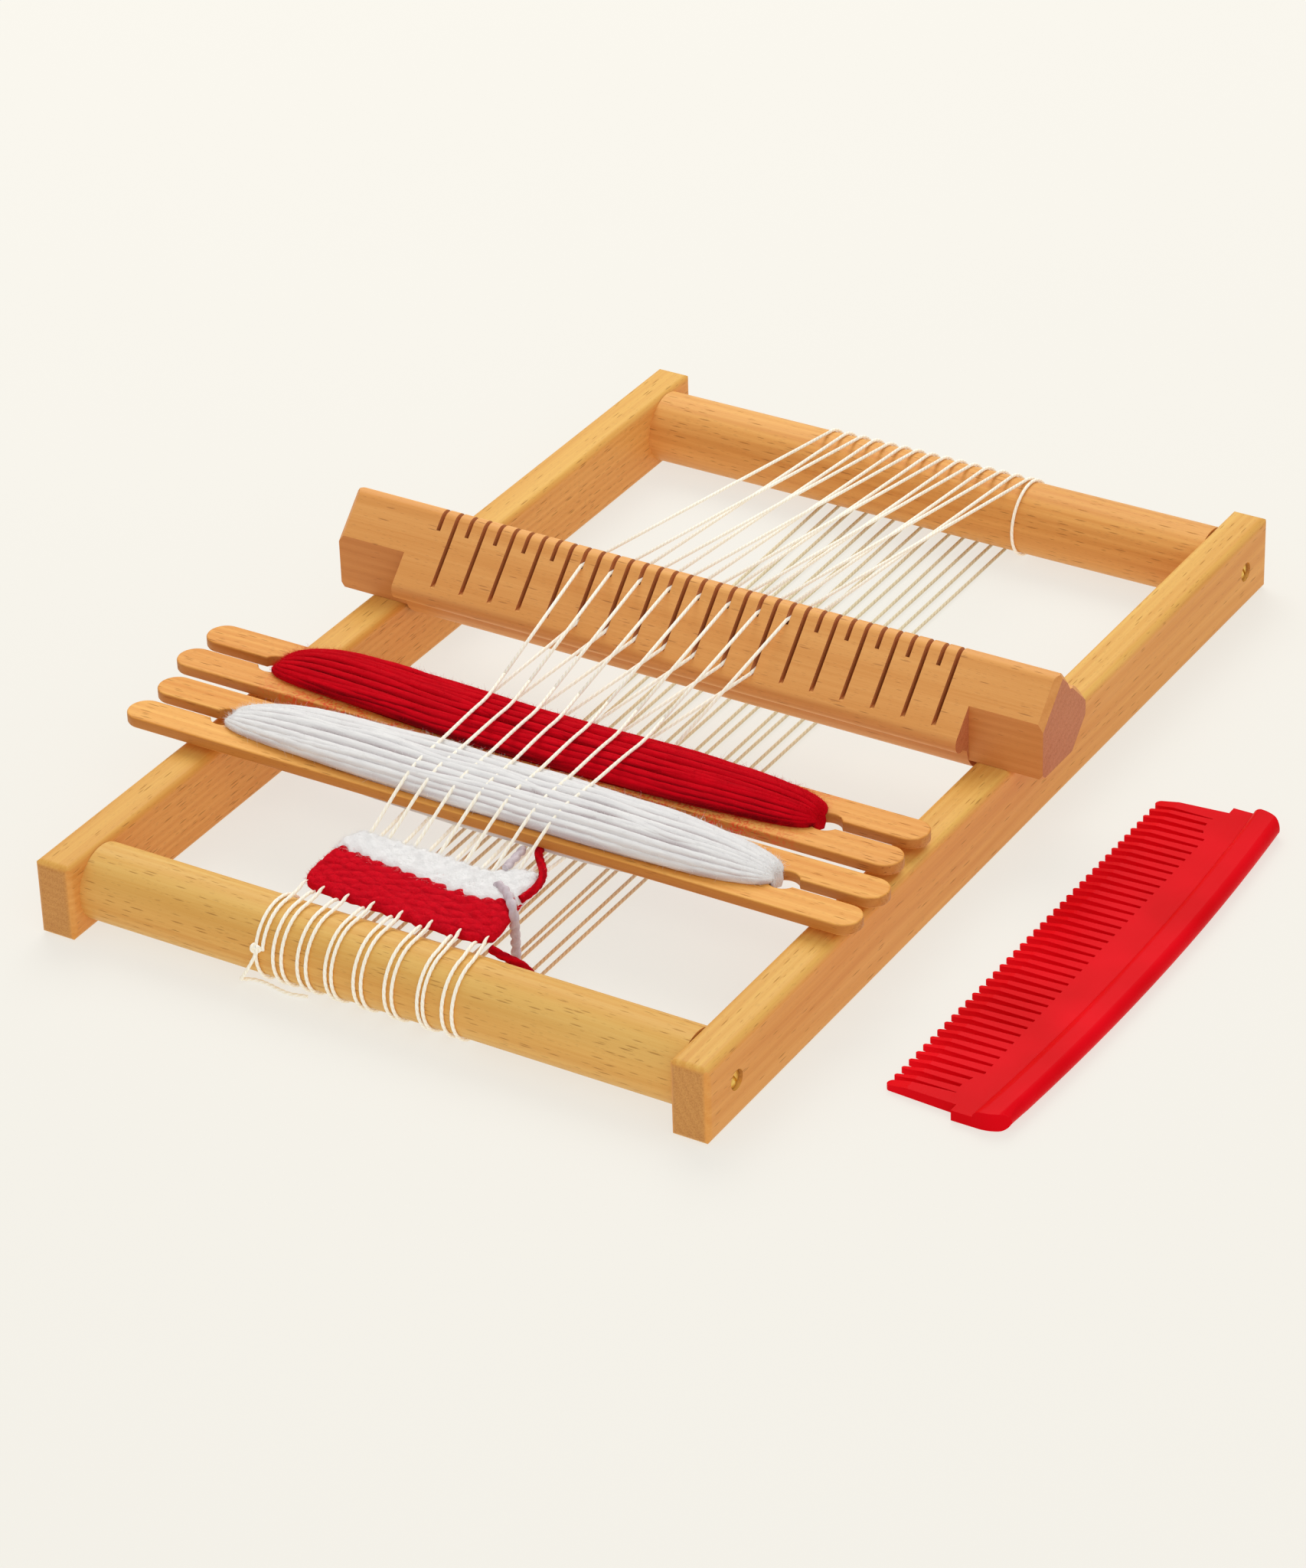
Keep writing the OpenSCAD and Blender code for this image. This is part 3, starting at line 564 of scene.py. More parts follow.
RED_YARN = np.array([
    [27.6, -12.4, 2.02], [28.1, -10.8, 2.22], [28.6, -6.9, 2.22], [28.25, -1.9, 2.22], [26.72, 2.75, 2.22],
    [24.5, 6.4, 2.2], [21.6, 9.8, 2.1], [18.9, 13.1, 1.8], [17.4, 15.3, 1.6], [16.8, 17.4, 1.5]]) + [0, FELL_Y, WEB_Z]
WHITE_STUB = np.array([
    [14.13, -0.3, 2.92], [14.13, 2.63, 3.12], [14.01, 6.21, 3.32], [13.63, 9.9, 3.22],
    [13.07, 12.72, 2.82]]) + [0, FELL_Y, WEB_Z]


def loose_end(name, route, radius, ref, material, node, far_end="bare", hairs=0, fibre=None, **ply):
    """A yarn end along its route."""
    path = smooth(route, radius * 0.3)
    obj = tubes(name, [path], [radius], 16, ref, material, **ply)
    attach(obj, "frame")
    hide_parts(node)
    if hairs:
        rings, _ = sweep(path, radius * 0.9, 16, ref)
        out = rings - path[:, None]
        out /= np.linalg.norm(out, axis=2, keepdims=True)
        fuzz(name + "_fuzz", rings.reshape(-1, 3), out.reshape(-1, 3), hairs, 1.7, 0.035, len(name), fibre, "frame", 0.6)


thick_ply = dict(lobes=3.0, depth=0.16, pitch=10.0)
pale_ply = dict(lobes=2.0, depth=0.4, pitch=8.5)
loose_end("warp_end", WARP_TAIL, THREAD_R, [0.3, 1, 0.2], thread, "warp_tail", lobes=2.0, depth=0.2, pitch=4.8)
loose_end("red_start_end", RED_TAIL, 1.5, [0, 0, 1], red_ply, "red_start_tail", hairs=500, fibre=red_fibre, **thick_ply)
loose_end("white_hanging_end", WHITE_TAIL, 1.75, [0, 1, 0], grey_ply, "white_weft_tail", **pale_ply)
loose_end("red_working_end", RED_YARN, 1.45, [0, 0, 1], red_ply, "red_weft_yarn", hairs=600, fibre=red_fibre, **thick_ply)
loose_end("white_short_end", WHITE_STUB, 1.5, [0, 0, 1], grey_ply, "white_weft_yarn", **pale_ply)


# Warp. The same values as the source, so that every thread lies where its solid does.
WARP_FRONT = np.array([-40.7, -36.6, -33.4, -27.2, -23.9, -16.5, -14.1, -5.6, -2.7, 6.2, 9, 18.7, 20.8, 28, 31.8])
WARP_FELL = np.array([-38.6, -34.9, -31.4, -25.7, -21.2, -15.9, -11.6, -5.4, -1.6, 4.9, 9, 13, 16.5, 20, 23.7])
FELL_BOW = np.array([0, 0, 0, 0, 0, 0, 0, 0, 0.4, 0.8, 1.2, 2.4, 4, 4.2, 3.4])
WARP_PUSH = np.array([3, -15, 3, -17, 1.8, -18, 0.4, -19, 0.6, -19, 0.8, -18, 1.2, -17.4, -9.5])
SLOT_X = -102.375 + 5.85 * (10 + np.arange(15))
RED_MID = np.array([-14.0, -66.6, 33.75])
WHITE_MID = np.array([-8.5, -103.7, 33.75])
WIND_TOP, WIND_UNDER = 9.5, 5.0


def runs_over(i):
    return i % 2 == 0 and i < 14


def over_stick(i, mid, off, share, side):
    """Point of thread i over or under a stick, off to one side of its middle."""
    y = mid[1] + off
    x = WARP_FELL[i] + (SLOT_X[i] - WARP_FELL[i]) * (y - FELL_Y) / -FELL_Y + share * WARP_PUSH[i] + side
    rise = (WIND_TOP if runs_over(i) else -WIND_UNDER) + (0.3 + THREAD_R) * (1 if runs_over(i) else -1)
    return [x, y + math.tan(YAW) * (x - mid[0]), mid[2] + rise]


def far_edge(i):
    """Where thread i leaves the red shuttle towards the heddle bar."""
    x, y, _ = over_stick(i, RED_MID, 16.4, 1.0, 0.0) if runs_over(i) else over_stick(i, RED_MID, 14.6, 1.0, -1.0)
    return [x, y, RED_MID[2] + (12.45 if runs_over(i) else -5.3)]


def beam_arc(x, y, side, first, last, count, r=BEAM_R + THREAD_R + 0.12):
    """Thread round a beam: angle from straight up, turning away from the frame."""
    a = np.radians(np.linspace(first, last, count))
    return np.stack([np.full(count, x), y + side * r * np.sin(a), BEAM_Z + r * np.cos(a)], axis=1)


def web_point(i, back, rise):
    """Point of thread i back from the fell, on its line through the cloth."""
    part = back / -(BEAM_Y + FELL_Y)
    x = WARP_FELL[i] + (WARP_FRONT[i] - WARP_FELL[i]) * part
    return [x, FELL_Y - back * -1.0, WEB_Z + rise]


def front_part(i):
    """Round the front beam, through the cloth and over or under both windings.
    Every second thread rides over the first pick of the cloth."""
    arc = beam_arc(WARP_FRONT[i], -BEAM_Y, -1, 78 if i == 0 else 180, 3, 10 if i == 0 else 22)
    rise = 1.9 if i % 2 == 0 else -1.0
    high = runs_over(i)
    web = [web_point(i, -39.0, 0.4), web_point(i, -36.4, rise), web_point(i, -32.0, rise * 0.3), web_point(i, -4.0, 0.0),
           [WARP_FELL[i], FELL_Y + FELL_BOW[i], WEB_Z],
           over_stick(i, WHITE_MID, -9.1, 0.14, 3.1 if high else 0.0),
           over_stick(i, WHITE_MID, 5.3, 0.3, 3.2 if high else 0.0),
           over_stick(i, RED_MID, -6.3, 0.9 if high else 0.65, 0.8),
           over_stick(i, RED_MID, 3.7, 1.0 if high else 0.85, 0.8), far_edge(i)]
    return np.vstack([arc[:-1], round_corners(np.vstack([arc[-1:], web]), 3)])


def back_part(i):
    """Round the back beam."""
    return beam_arc(SLOT_X[i], BEAM_Y, 1, 3, 112 if i == 14 else 180, 22)


def return_part(i):
    """Along the underside to the next turn's front."""
    return np.vstack([beam_arc(SLOT_X[i], BEAM_Y, 1, 180, 180, 1), beam_arc(WARP_FRONT[i + 1], -BEAM_Y, -1, 180, 180, 1)])


rows = range(15)
warp_ply = dict(lobes=2.0, depth=0.14, pitch=4.8)
front_paths = [smooth(front_part(i), 0.5) for i in rows]
# Thinner inside the cloth, so that the thread tapers where it dives in.
front_radii = [THREAD_R * 1.04 * np.interp(q[:, 1] - FELL_Y, [-37.5, -34.5, -9, -4], [1, 0.35, 0.35, 1]) for q in front_paths]
warp_front = tubes("warp_front", front_paths, front_radii, 10, [1, 0, 0], thread, **warp_ply)
warp_back = tubes("warp_back", [back_part(i) for i in rows], [THREAD_R] * 15, 10, [1, 0, 0], thread)
warp_return = tubes("warp_return", [return_part(i) for i in range(14)], [THREAD_R] * 14, 10, [1, 0, 0], return_thread_shaded)
for part_of_warp in (warp_front, warp_back, warp_return):
    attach(part_of_warp, "frame")
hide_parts("warp")

HIGH = [i for i in rows if i % 2 == 0]
LOW = [i for i in rows if i % 2]
high_corner = {i: [SLOT_X[i], 8.4, 58.0 if runs_over(i) else 58.5] for i in HIGH}
low_near = {i: [SLOT_X[i], -7.4, 43.6] for i in LOW}
low_far = {i: [SLOT_X[i], 32.4, 43.6] for i in LOW}
beam_top = {i: beam_arc(SLOT_X[i], BEAM_Y, 1, 3, 3, 1)[0].tolist() for i in rows}


def spans(name, ends):
    """Straight stretches of thread with rings at their ends alone, so that they
    stay straight when the bar turns."""
    obj = tubes(name, [np.array(e, float) for e in ends], [THREAD_R] * len(ends), 10, [1, 0, 0], thread)
    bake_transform(obj)


spans("shed_high", [[far_edge(i), high_corner[i]] for i in HIGH])
spans("shed_low", [[far_edge(i), low_near[i]] for i in LOW])
spans("slot_low", [[low_near[i], low_far[i]] for i in LOW])
spans("rear_high", [[high_corner[i], beam_top[i]] for i in HIGH])
spans("rear_low", [[low_far[i], beam_top[i]] for i in LOW])


def beads(name, centres, body):
    """Round thread at the bends: small balls where two stretches meet."""
    a = np.radians(np.linspace(8, 172, 7))
    paths = [np.asarray(c, float) + np.outer(-np.cos(a) * THREAD_R, [0, 1, 0]) for c in centres]
    obj = tubes(name, paths, [np.sin(a) * THREAD_R * 1.01] * len(paths), 10, [1, 0, 0], thread)
    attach(obj, body)


beads("bends_in_slots", [high_corner[i] for i in HIGH] + [low_near[i] for i in LOW] + [low_far[i] for i in LOW], "heddle")
beads("bends_behind_sticks", [far_edge(i) for i in rows], "frame")


def warp_tie(name, side, x, z, node):
    """The loop round the beam and the knot on it, as one piece. The knot is
    x = sin t + 2 sin 2t, y = cos t - 2 cos 2t, z = -sin 3t, drawn long."""
    loop = beam_arc(x, side * BEAM_Y, side, 0, 360, 60)
    radial = np.array([0.0, side * math.sqrt(15.0**2 - z * z), z]) / 15.0
    centre = np.array([x + 0.5, side * BEAM_Y, BEAM_Z]) + radial * 14.9
    up = np.array([0.0, -radial[2] * side, radial[1] * side])
    t = np.linspace(0.25, 2 * np.pi - 0.05, 90)
    q = np.stack([np.sin(t) + 2 * np.sin(2 * t), np.cos(t) - 2 * np.cos(2 * t), -1.15 * np.sin(3 * t)], axis=1)
    knot = centre + q @ np.array([[0.5, 0, 0], 0.72 * up, 0.55 * radial])
    obj = tubes(name, [loop, knot], [THREAD_R, THREAD_R], 12, [0.9, 0.1, 0.2], thread, **warp_ply)
    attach(obj, "frame")
    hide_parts(node)


warp_tie("front_tie", -1, WARP_FRONT[0] - 2.6, 3.2, "front_warp_tie")
warp_tie("back_tie", 1, SLOT_X[14] + 2.6, -6.0, "back_warp_tie")


# Stick shuttles.
def to_stick(local, mid):
    """Turns stick coordinates by the stick's angle and moves them to its middle."""
    c, s = math.cos(YAW), math.sin(YAW)
    x, y, z = local[..., 0], local[..., 1], local[..., 2]
    return np.stack([mid[0] + c * x - s * y, mid[1] + s * x + c * y, mid[2] + z], axis=-1)


def stick(colour_name, keyhole, mid, material):
    """The outline runs round both prongs and the keyhole of one end, and once
    more turned by half a turn for the other end. It is stacked in six levels,
    pulled in along its normals near the top and the bottom for soft edges."""
    def arc(cx, cy, r, first, last, count):
        a = np.radians(np.linspace(first, last, count))
        return np.stack([cx + r * np.cos(a), cy + r * np.sin(a)], axis=1)

    bite = math.degrees(math.asin(2.5 / 5.25))
    half = np.vstack([arc(135.5, 9, 6.5, 90, -90, 25), arc(keyhole, 0, 5.25, bite, 360 - bite, 41),
                      arc(135.5, -9, 6.5, 90, -90, 25)])
    plan = np.vstack([half, -half])
    n = len(plan)
    ahead = np.roll(plan, -1, axis=0) - plan
    ahead /= np.linalg.norm(ahead, axis=1, keepdims=True)
    way = ahead + np.roll(ahead, 1, axis=0)
    way /= np.linalg.norm(way, axis=1, keepdims=True)
    normal = np.stack([-way[:, 1], way[:, 0]], axis=1)
    levels = np.array([[-2, 0.6], [-1.88, 0.22], [-1.5, 0], [1.5, 0], [1.88, 0.22], [2, 0.6]])
    flat = plan[None] - levels[:, 1, None, None] * normal[None]
    height = np.broadcast_to(levels[:, 0, None, None], (6, n, 1))
    verts = np.concatenate([flat, height], axis=2).reshape(-1, 3)
    obj = make_piece(colour_name + "_stick_wood", to_stick(verts, mid), strip_faces(6, n, True)[:, ::-1], material,
                     None, (np.arange(n), 5 * n + np.arange(n)[::-1]))
    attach(obj, colour_name + "_stick")
    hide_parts(colour_name + "_shuttle")


# Windings: distance of the keyholes, how blunt the ends are, how far they lean
# back at the left end and forward at the right end, the offset back and half
# the width.
HOLE_RING = 4.0
LOOPS = 10


def fullness(t, w):
    return 1 - np.abs(t) ** w[1]


def blunt(t, ends):
    """Rise of the upper side from both keyholes: (1 - |t|^a)^b, with its own a and b
    for the left and the right end."""
    a = np.where(t < 0, ends[0][0], ends[1][0])
    b = np.where(t < 0, ends[0][1], ends[1][1])
    return np.clip(1 - np.abs(t) ** a, 0, 1) ** b


def drift(t, w):
    return fullness(t, w) * (w[4] - np.where(t < 0, w[2], w[3]) * t * np.abs(t))


def wind_paths(w, ends, top, full_r, seed):
    """Loops of yarn from keyhole to keyhole over the stick and back under it. Across:
    from the row in the keyhole to its own place in the full width; height: from
    just over the stick to the rounded top. Slow waves are added where the
    winding is full, and the last loops lie aslant on top of the others."""
    rng = np.random.default_rng(seed)
    t = np.sin(np.linspace(-0.5, 0.5, 111) * np.pi)
    slim = fullness(t, w)
    path, radii = [], []
    order = [(math.sin(1.45 * (2 * j / (LOOPS - 1) - 1)), 0.0, 0.0) for j in range(LOOPS)]
    order += [(-0.62, 0.34, 0.5), (-0.12, -0.3, 0.55), (0.42, 0.26, 0.5), (0.8, -0.34, 0.35)]
    for j, (q0, slant, lift) in enumerate(order):
        q = q0 + slant * t
        e = 2.6 * q0
        wave = slim * sum(rng.normal() * 0.3 * np.sin(TURN * t * k + rng.uniform(0, 6.3)) for k in (0.7, 1.3, 2.3))
        sides = []
        for up in (1, -1):
            f = blunt(t, ends) if up > 0 else slim
            r_cad = 0.35 + ((1.35 if up > 0 else 1.1) - 0.35) * slim**2
            low = 2.3 + r_cad
            high = low + ((top if up > 0 else WIND_UNDER - 0.15) - r_cad - low) * f
            z = up * (low + (high - low) * np.sqrt(np.clip(1 - (0.985 * q) ** 2, 0, 1)) + lift * f * (up > 0))
            y = e + ((w[5] - r_cad) * 0.985 * q - e) * f + drift(t, w) + wave
            x = t * (w[0] - math.sqrt(HOLE_RING**2 - e * e))
            sides.append(np.stack([x, y, z], axis=1))
        r = 1.1 + (full_r - 1.1) * blunt(t, ends) ** 0.7 * (1 + 0.05 * np.sin(9 * t + 2 * j))
        if lift:
            r = r * 0.85
        through = [[sides[0][-1, 0] + 0.7, e, 0.0], [sides[0][0, 0] - 0.7, e, 0.0]]
        path += [sides[0], through[:1], sides[1][::-1], through[1:]]
        radii += [r, [0.8], (0.8 + 0.5 * slim)[::-1], [0.8]]
    return np.vstack(path), np.concatenate(radii)


def core_piece(name, w, ends, top, mid, material, body, node):
    """The inner layers: over and under the stick a lobe whose section is half an
    ellipse, width and height growing with the fullness."""
    t = np.sin(np.linspace(-0.5, 0.5, 41) * np.pi)
    a = np.linspace(0, np.pi, 21)[None]
    verts, faces, caps, base = [], [], [], 0
    for up in (1, -1):
        f = (blunt(t, ends) if up > 0 else fullness(t, w))[:, None]
        side = 3 + (w[5] - 1.2 - 3) * f
        r = 0.35 + ((1.35 if up > 0 else 1.1) - 0.35) * f**2
        crest = (2.3 + r) * (1 - f) + ((top if up > 0 else WIND_UNDER) - r) * f
        h = np.maximum(crest - (1.1 if up > 0 else r + 0.3) - 2.05, 0.25)
        pts = np.stack(np.broadcast_arrays(t[:, None] * (w[0] - 5), side * np.cos(a) * up + drift(t, w)[:, None],
                                           up * (2.05 + h * np.sin(a))), axis=-1)
        verts.append(pts.reshape(-1, 3))
        faces.append(strip_faces(41, 21, True)[:, ::-1] + base)
        caps += [base + np.arange(21), base + 40 * 21 + np.arange(21)[::-1]]
        base += 41 * 21
    obj = make_piece(name, to_stick(np.vstack(verts), mid), np.vstack(faces), material, None, caps)
    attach(obj, body)
    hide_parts(node)


def winding(colour_name, w, ends, mid, top, full_r, material, fibre, hairs, seed):
    body = colour_name + "_stick"
    path, radii = wind_paths(w, ends, top, full_r, seed)
    path = to_stick(path, mid)
    obj = tubes(colour_name + "_wound_yarn", [path], [radii], 14, [0, 1, 0], material, lobes=3.0, depth=0.05, pitch=24.0)
    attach(obj, body)
    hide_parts(colour_name + "_yarn")
    core_piece(colour_name + "_wound_core", w, ends, top, mid, material, body, colour_name + "_yarn_core")
    rings, _ = sweep(path, radii, 14, [0, 1, 0])
    out = rings - path[:, None]
    out /= np.linalg.norm(out, axis=2, keepdims=True)
    top_side = (out[..., 2] > 0.1) & (rings[..., 2] > mid[2] + 2.5)
    fuzz(colour_name + "_wound_fuzz", rings[top_side], out[top_side], hairs, 2.9, 0.04, seed + 3, fibre, body, 0.8)
    rim = (np.abs(out[..., 1]) > 0.75) & (rings[..., 2] > mid[2] + 1.5)
    fuzz(colour_name + "_rim_fuzz", rings[rim], out[rim], hairs // 2, 3.2, 0.05, seed + 5, fibre, body, 0.7)


RED_WIND = (109.0, 3.6, 8.0, -2.5, -1.7, 13.8)
WHITE_WIND = (108.6, 3.0, 3.2, 1.8, 0.6, 14.6)
stick("red", RED_WIND[0], RED_MID, red_stick_wood)
stick("white", WHITE_WIND[0], WHITE_MID, white_stick_wood)
winding("red", RED_WIND, ((5.5, 0.5), (2.6, 0.35)), RED_MID, 9.3, 1.9, red_wound, red_fibre, 12000, 11)
winding("white", WHITE_WIND, ((2.9, 0.5), (3.0, 0.5)), WHITE_MID, 10.6, 2.05, white_wound, white_fibre, 8000, 23)


# Cloth.
def edge_curve(points, count):
    """Even samples along a rounded line through the points."""
    p = round_corners(np.column_stack([points, np.zeros(len(points))]), 2)[:, :2]
    t = np.concatenate([[0.0], np.cumsum(np.linalg.norm(np.diff(p, axis=0), axis=1))])
    s = np.linspace(0, t[-1], count)
    return np.stack([np.interp(s, t, p[:, 0]), np.interp(s, t, p[:, 1])], axis=1)


def ease(n, crowd):
    """Values from 0 to 1 that crowd together at both ends."""
    u = np.linspace(0, 1, n)
    return (1 - crowd) * u + crowd * (0.5 - 0.5 * np.cos(np.pi * u))


def weave(row, index, first, rng):
    """Height of the weave, 0 to 1. Pick k is a row of lens-shaped bumps, high and
    wide where it passes over a warp thread, low and narrow where it dives, in
    turn from pick to pick. The highest pick wins at every point."""
    best = np.zeros_like(row)
    for k in range(-2, int(row.max()) + 3):
        over = (0.5 + 0.5 * np.cos(np.pi * (index + k + first))) ** 1.4
        middle = k + 0.5 + 0.16 * np.sin(index * 0.9 + rng.uniform(0, 6.3)) + 0.1 * rng.normal()
        wide = 0.42 + 0.42 * over**0.8
        lens = np.sqrt(np.clip(1 - ((row - middle) / wide) ** 2, 0, 1))
        best = np.maximum(best, lens * (0.25 + 0.75 * over) * (0.9 + 0.2 * rng.uniform()))
    return best


def cloth_piece(name, near, far, left, right, pitch, start, material, node, seed, thick, bumps, lumps, scallop):
    """A closed woven sheet between four edge lines. Place: a Coons patch of the four
    lines, its near and far edges drawn out between the warp threads. Height: a
    round edge, the weave on it and slow lumps."""
    nu, nv = 300, 110
    u, v = ease(nu, 0.3), ease(nv, 0.6)
    lines = [edge_curve(line, 401) for line in (near, far, left, right)]

    def at(line, s):
        x = s * (len(line) - 1)
        return np.stack([np.interp(x, np.arange(len(line)), line[:, c]) for c in (0, 1)], axis=-1)

    U, V = np.meshgrid(u, v, indexing="ij")
    near_p, far_p = at(lines[0], u)[:, None], at(lines[1], u)[:, None]
    left_p, right_p = at(lines[2], v)[None], at(lines[3], v)[None]
    u_, v_ = U[..., None], V[..., None]
    corner = ((1 - u_) * (1 - v_) * near_p[0, 0] + u_ * (1 - v_) * near_p[-1, 0]
              + (1 - u_) * v_ * far_p[0, 0] + u_ * v_ * far_p[-1, 0])
    flat = (1 - v_) * near_p + v_ * far_p + (1 - u_) * left_p + u_ * right_p - corner
    x, y = flat[..., 0], flat[..., 1].copy()
    wide = np.abs(lines[3][:, 0].mean() - lines[2][:, 0].mean())
    deep = np.abs(lines[1][:, 1].mean() - lines[0][:, 1].mean())
    inset = np.minimum(np.minimum(U, 1 - U) * wide, np.minimum(V, 1 - V) * deep)
    edge = np.sqrt(1 - (1 - np.clip(inset / 3.2, 0, 1)) ** 2)
    rng = np.random.default_rng(seed)

    def slow(low, high, waves=9):
        return sum(rng.normal() * np.sin(x * rng.uniform(low, high) * rng.choice([-1, 1])
                                         + y * rng.uniform(low, high) + rng.uniform(0, 6.3))
                   for _ in range(waves)) / math.sqrt(waves)

    part = np.clip((y - FELL_Y) / -47.0, 0, 1)
    warp_x = np.stack([WARP_FELL[i] + (WARP_FRONT[i] - WARP_FELL[i]) * part for i in rows], axis=0)
    index = sum(np.clip((x - warp_x[i]) / np.maximum(warp_x[i + 1] - warp_x[i], 0.5), 0, 1) for i in range(14))
    index = index + np.minimum(x - warp_x[0], 0) / 4.0 + np.maximum(x - warp_x[14], 0) / 4.0
    border = np.clip(1 - V * deep / 3.5, 0, 1), np.clip(1 - (1 - V) * deep / 3.5, 0, 1)
    draw = 0.5 + 0.5 * np.cos(np.pi * (index + 1)) + 0.35 * slow(0.3, 1.4)
    y = y - scallop[0] * border[0] * draw + scallop[1] * border[1] * (np.cos(TURN * index) * 0.5 + 0.3 * slow(0.4, 1.6))
    row = (start - y) / pitch + 0.2 * slow(0.05, 0.3)
    lump = lumps * slow(0.5, 1.3, 14)
    tops = []
    for side in (0, 1):
        rise = weave(row, index + 0.12 * slow(0.2, 0.8), side, rng)
        tops.append((rise, edge * (thick + bumps * rise + lump)))
    top = np.stack([x, y, WEB_Z - 0.1 + tops[0][1]], axis=-1)
    low = np.stack([x, y, WEB_Z - 0.1 - tops[1][1]], axis=-1)[::-1]
    faces = strip_faces(nu, nv, False)
    faces = np.vstack([faces, faces + nu * nv])
    rise = np.concatenate([tops[0][0].ravel(), tops[1][0][::-1].ravel()])
    uv = np.stack([rise, np.zeros_like(rise)], axis=1)[faces.ravel()]
    obj = make_piece(name, np.vstack([top.reshape(-1, 3), low.reshape(-1, 3)]), faces, material, uv)
    close_sheet(obj)
    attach(obj, "frame")
    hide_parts(node)
    return obj, top, inset, flat


def close_sheet(obj):
    """Joins the two faces of a closed sheet along their common border."""
    bm = bmesh.new()
    bm.from_mesh(obj.data)
    bmesh.ops.remove_doubles(bm, verts=bm.verts, dist=2e-6)
    bmesh.ops.recalc_face_normals(bm, faces=bm.faces)
    bm.to_mesh(obj.data)
    bm.free()


def off_fell(points):
    return np.asarray(points, float) + [0, FELL_Y]


red_cloth, red_top, red_inset, red_flat = cloth_piece(
    "red_weaving",
    near=off_fell([[-39.8, -34.8], [-30, -36.2], [-15, -36.2], [0, -36.8], [10, -37.4], [22, -37.2], [30.2, -34.8]]),
    far=off_fell([[-43.6, -8.2], [-10, -8.6], [10, -8.4], [27.6, -9.4]]),
    left=off_fell([[-39.8, -34.8], [-43.2, -31], [-43.8, -22], [-43.6, -8.2]]),
    right=off_fell([[30.2, -34.8], [31.4, -31], [30.2, -24], [28.4, -15], [27.6, -9.4]]),
    pitch=2.1, start=FELL_Y - 8, material=red_woven, node="red_cloth", seed=5,
    thick=1.7, bumps=0.85, lumps=0.26, scallop=(0.9, 0.2))
white_cloth, white_top, white_inset, white_flat = cloth_piece(
    "white_weaving",
    near=off_fell([[-43.9, -12.8], [-30, -15.2], [-19, -15.6], [-8, -17.0], [2, -17.8], [14, -18.4], [22, -16.4],
                   [28.2, -13.6]]),
    far=off_fell([[-40.4, -2.0], [-34, -1.2], [-20, -1.5], [-8, -1.5], [0, -1.6], [6, -2.6], [11, -1.8], [14, 0.4],
                  [17, 3.8], [21.6, 4.2], [25.2, 2.8]]),
    left=off_fell([[-43.9, -12.8], [-43.6, -7], [-40.4, -2.0]]),
    right=off_fell([[28.2, -13.6], [27.2, -6], [26.8, 0.0], [25.2, 2.8]]),
    pitch=4.2, start=FELL_Y + 4, material=white_woven, node="white_cloth", seed=9,
    thick=3.1, bumps=0.3, lumps=0.4, scallop=(0.8, 1.3))


def plan_area(flat):
    """Area of a grid of plan points, from the cross product of each cell's diagonals."""
    a = flat[1:, 1:] - flat[:-1, :-1]
    b = flat[:-1, 1:] - flat[1:, :-1]
    return float(np.abs(a[..., 0] * b[..., 1] - a[..., 1] * b[..., 0]).sum() / 2) / 1e6


plan_area(red_flat)
plan_area(white_flat)


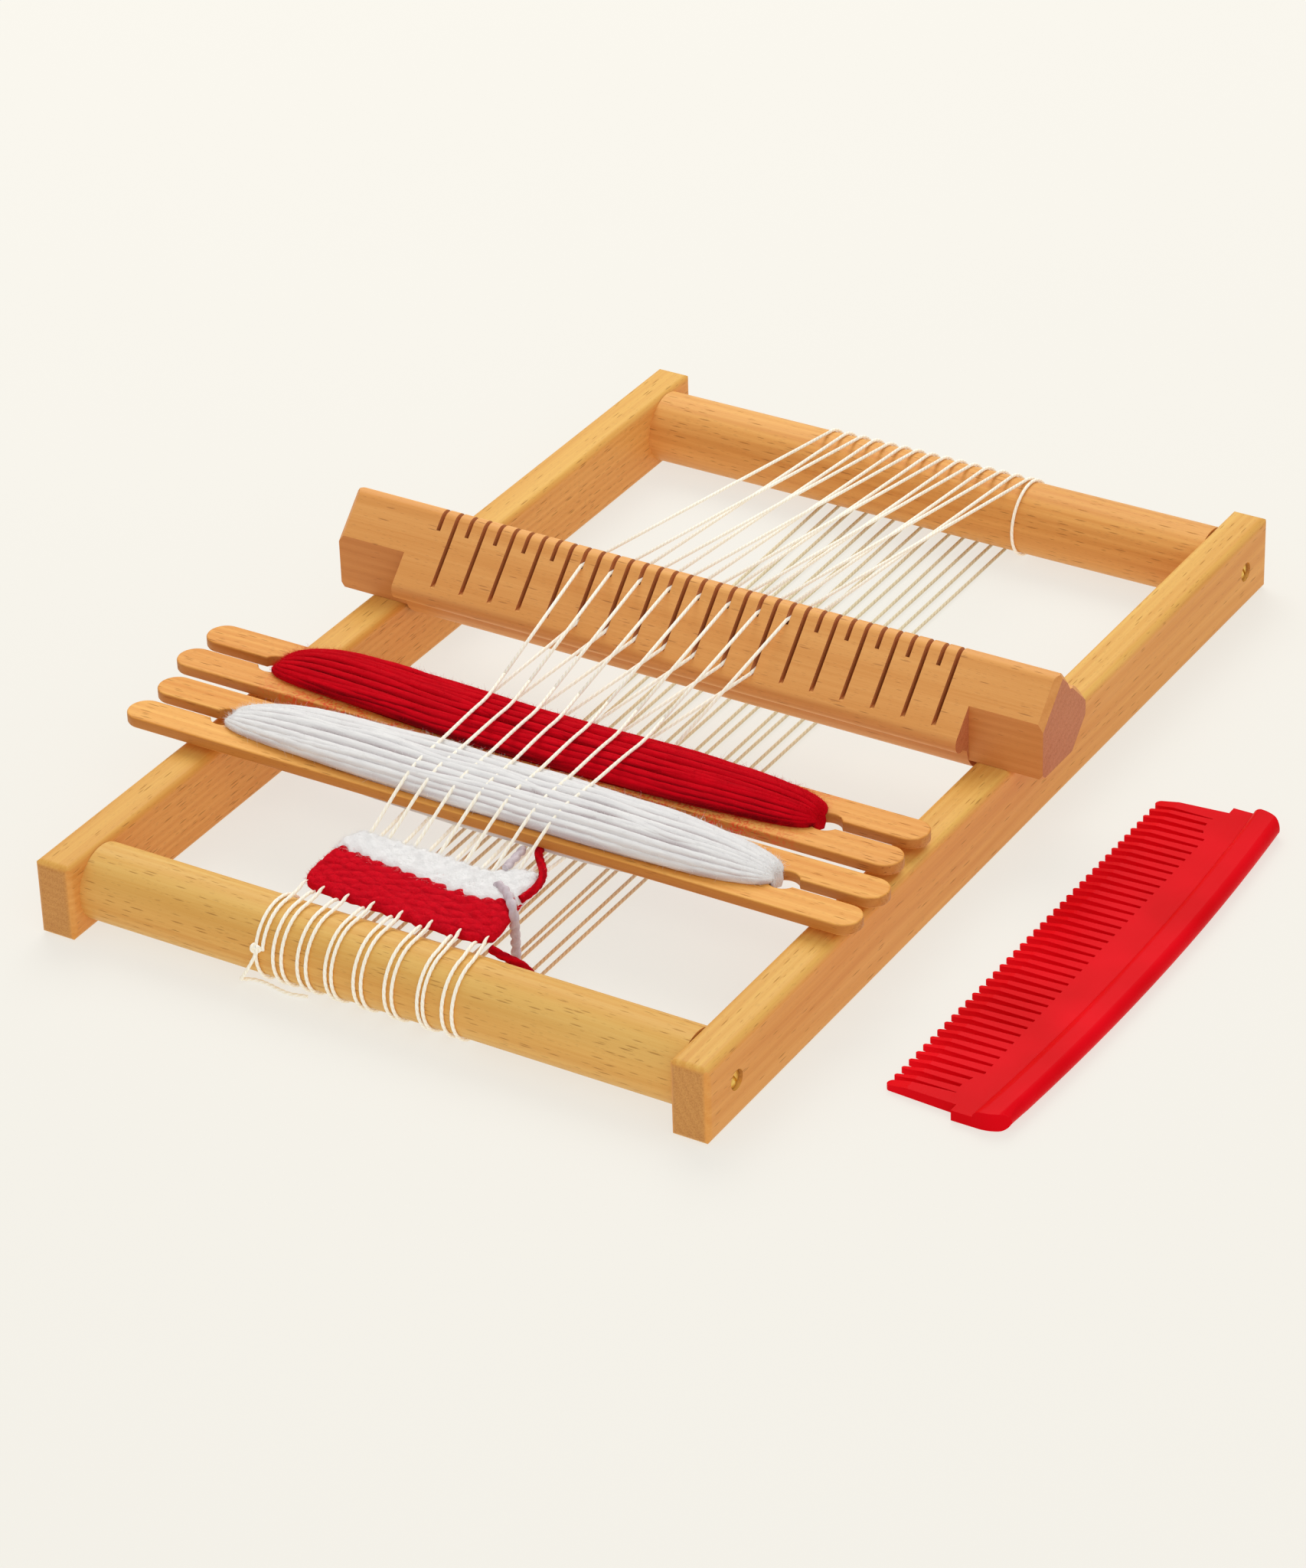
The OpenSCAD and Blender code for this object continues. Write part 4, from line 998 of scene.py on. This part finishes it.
def cloth_fuzz(name, top, inset, count, length, material, seed):
    """Fibres all over the upper face and a fringe of them along the border."""
    up = np.broadcast_to([0.0, 0.0, 1.0], top.shape)
    keep, border = inset > 0.3, inset < 0.9
    fuzz(name, top[keep], up[keep], count, length, 0.04, seed, material, "frame", 0.75)
    fuzz(name + "_edge", top[border], up[border], count // 3, length, 0.038, seed + 1, material, "frame", 0.95)


cloth_fuzz("red_weaving_fuzz", red_top, red_inset, 8000, 1.7, red_fibre, 31)
cloth_fuzz("white_weaving_fuzz", white_top, white_inset, 9000, 2.4, white_fibre, 41)


# Floor, backdrop and light.
def make_stage():
    f = Finish("pale_floor")
    tone = f.noise(f.place(), 3.0, 2.0)
    f.set(Base_Color=f.mix(tone, colour("#81807b"), colour("#84837f")), Roughness=0.9,
          Emission_Color=colour("#fefbf3"), Emission_Strength=0.69, Specular_IOR_Level=0.03)
    mesh = bpy.data.meshes.new("floor")
    s = 6.0
    mesh.from_pydata([(-s, -s, -0.0003), (s, -s, -0.0003), (s, s, -0.0003), (-s, s, -0.0003)], [], [(0, 1, 2, 3)])
    mesh.materials.append(f.material)
    floor = bpy.data.objects.new("floor", mesh)
    bpy.context.scene.collection.objects.link(floor)


def area_light(name, place, target, size, power, tint):
    data = bpy.data.lights.new(name, "AREA")
    data.shape = "RECTANGLE"
    data.size, data.size_y = size
    data.energy = power
    data.color = tint
    lamp = bpy.data.objects.new(name, data)
    bpy.context.scene.collection.objects.link(lamp)
    z = np.asarray(place, float) - np.asarray(target, float)
    z /= np.linalg.norm(z)
    x = np.cross([0, 0, 1], z)
    x /= np.linalg.norm(x)
    m = np.eye(4)
    m[:3, 0], m[:3, 1], m[:3, 2], m[:3, 3] = x, np.cross(z, x), z, place
    lamp.matrix_world = Matrix(m.tolist())


make_stage()
area_light("key", (-0.7, 0.9, 1.5), (0, 0, 0), (1.3, 1.3), 18.5, (1.0, 0.98, 0.95))
area_light("fill", (1.3, -1.2, 1.3), (0, 0, 0), (1.8, 1.8), 8.0, (1.0, 0.98, 0.96))
world = bpy.data.worlds.new("studio")
world.use_nodes = True
back = world.node_tree.nodes["Background"]
back.inputs[0].default_value = (1.0, 0.985, 0.955, 1.0)
back.inputs[1].default_value = 0.62
scene = bpy.context.scene
scene.world = world
scene.view_settings.view_transform = "Standard"
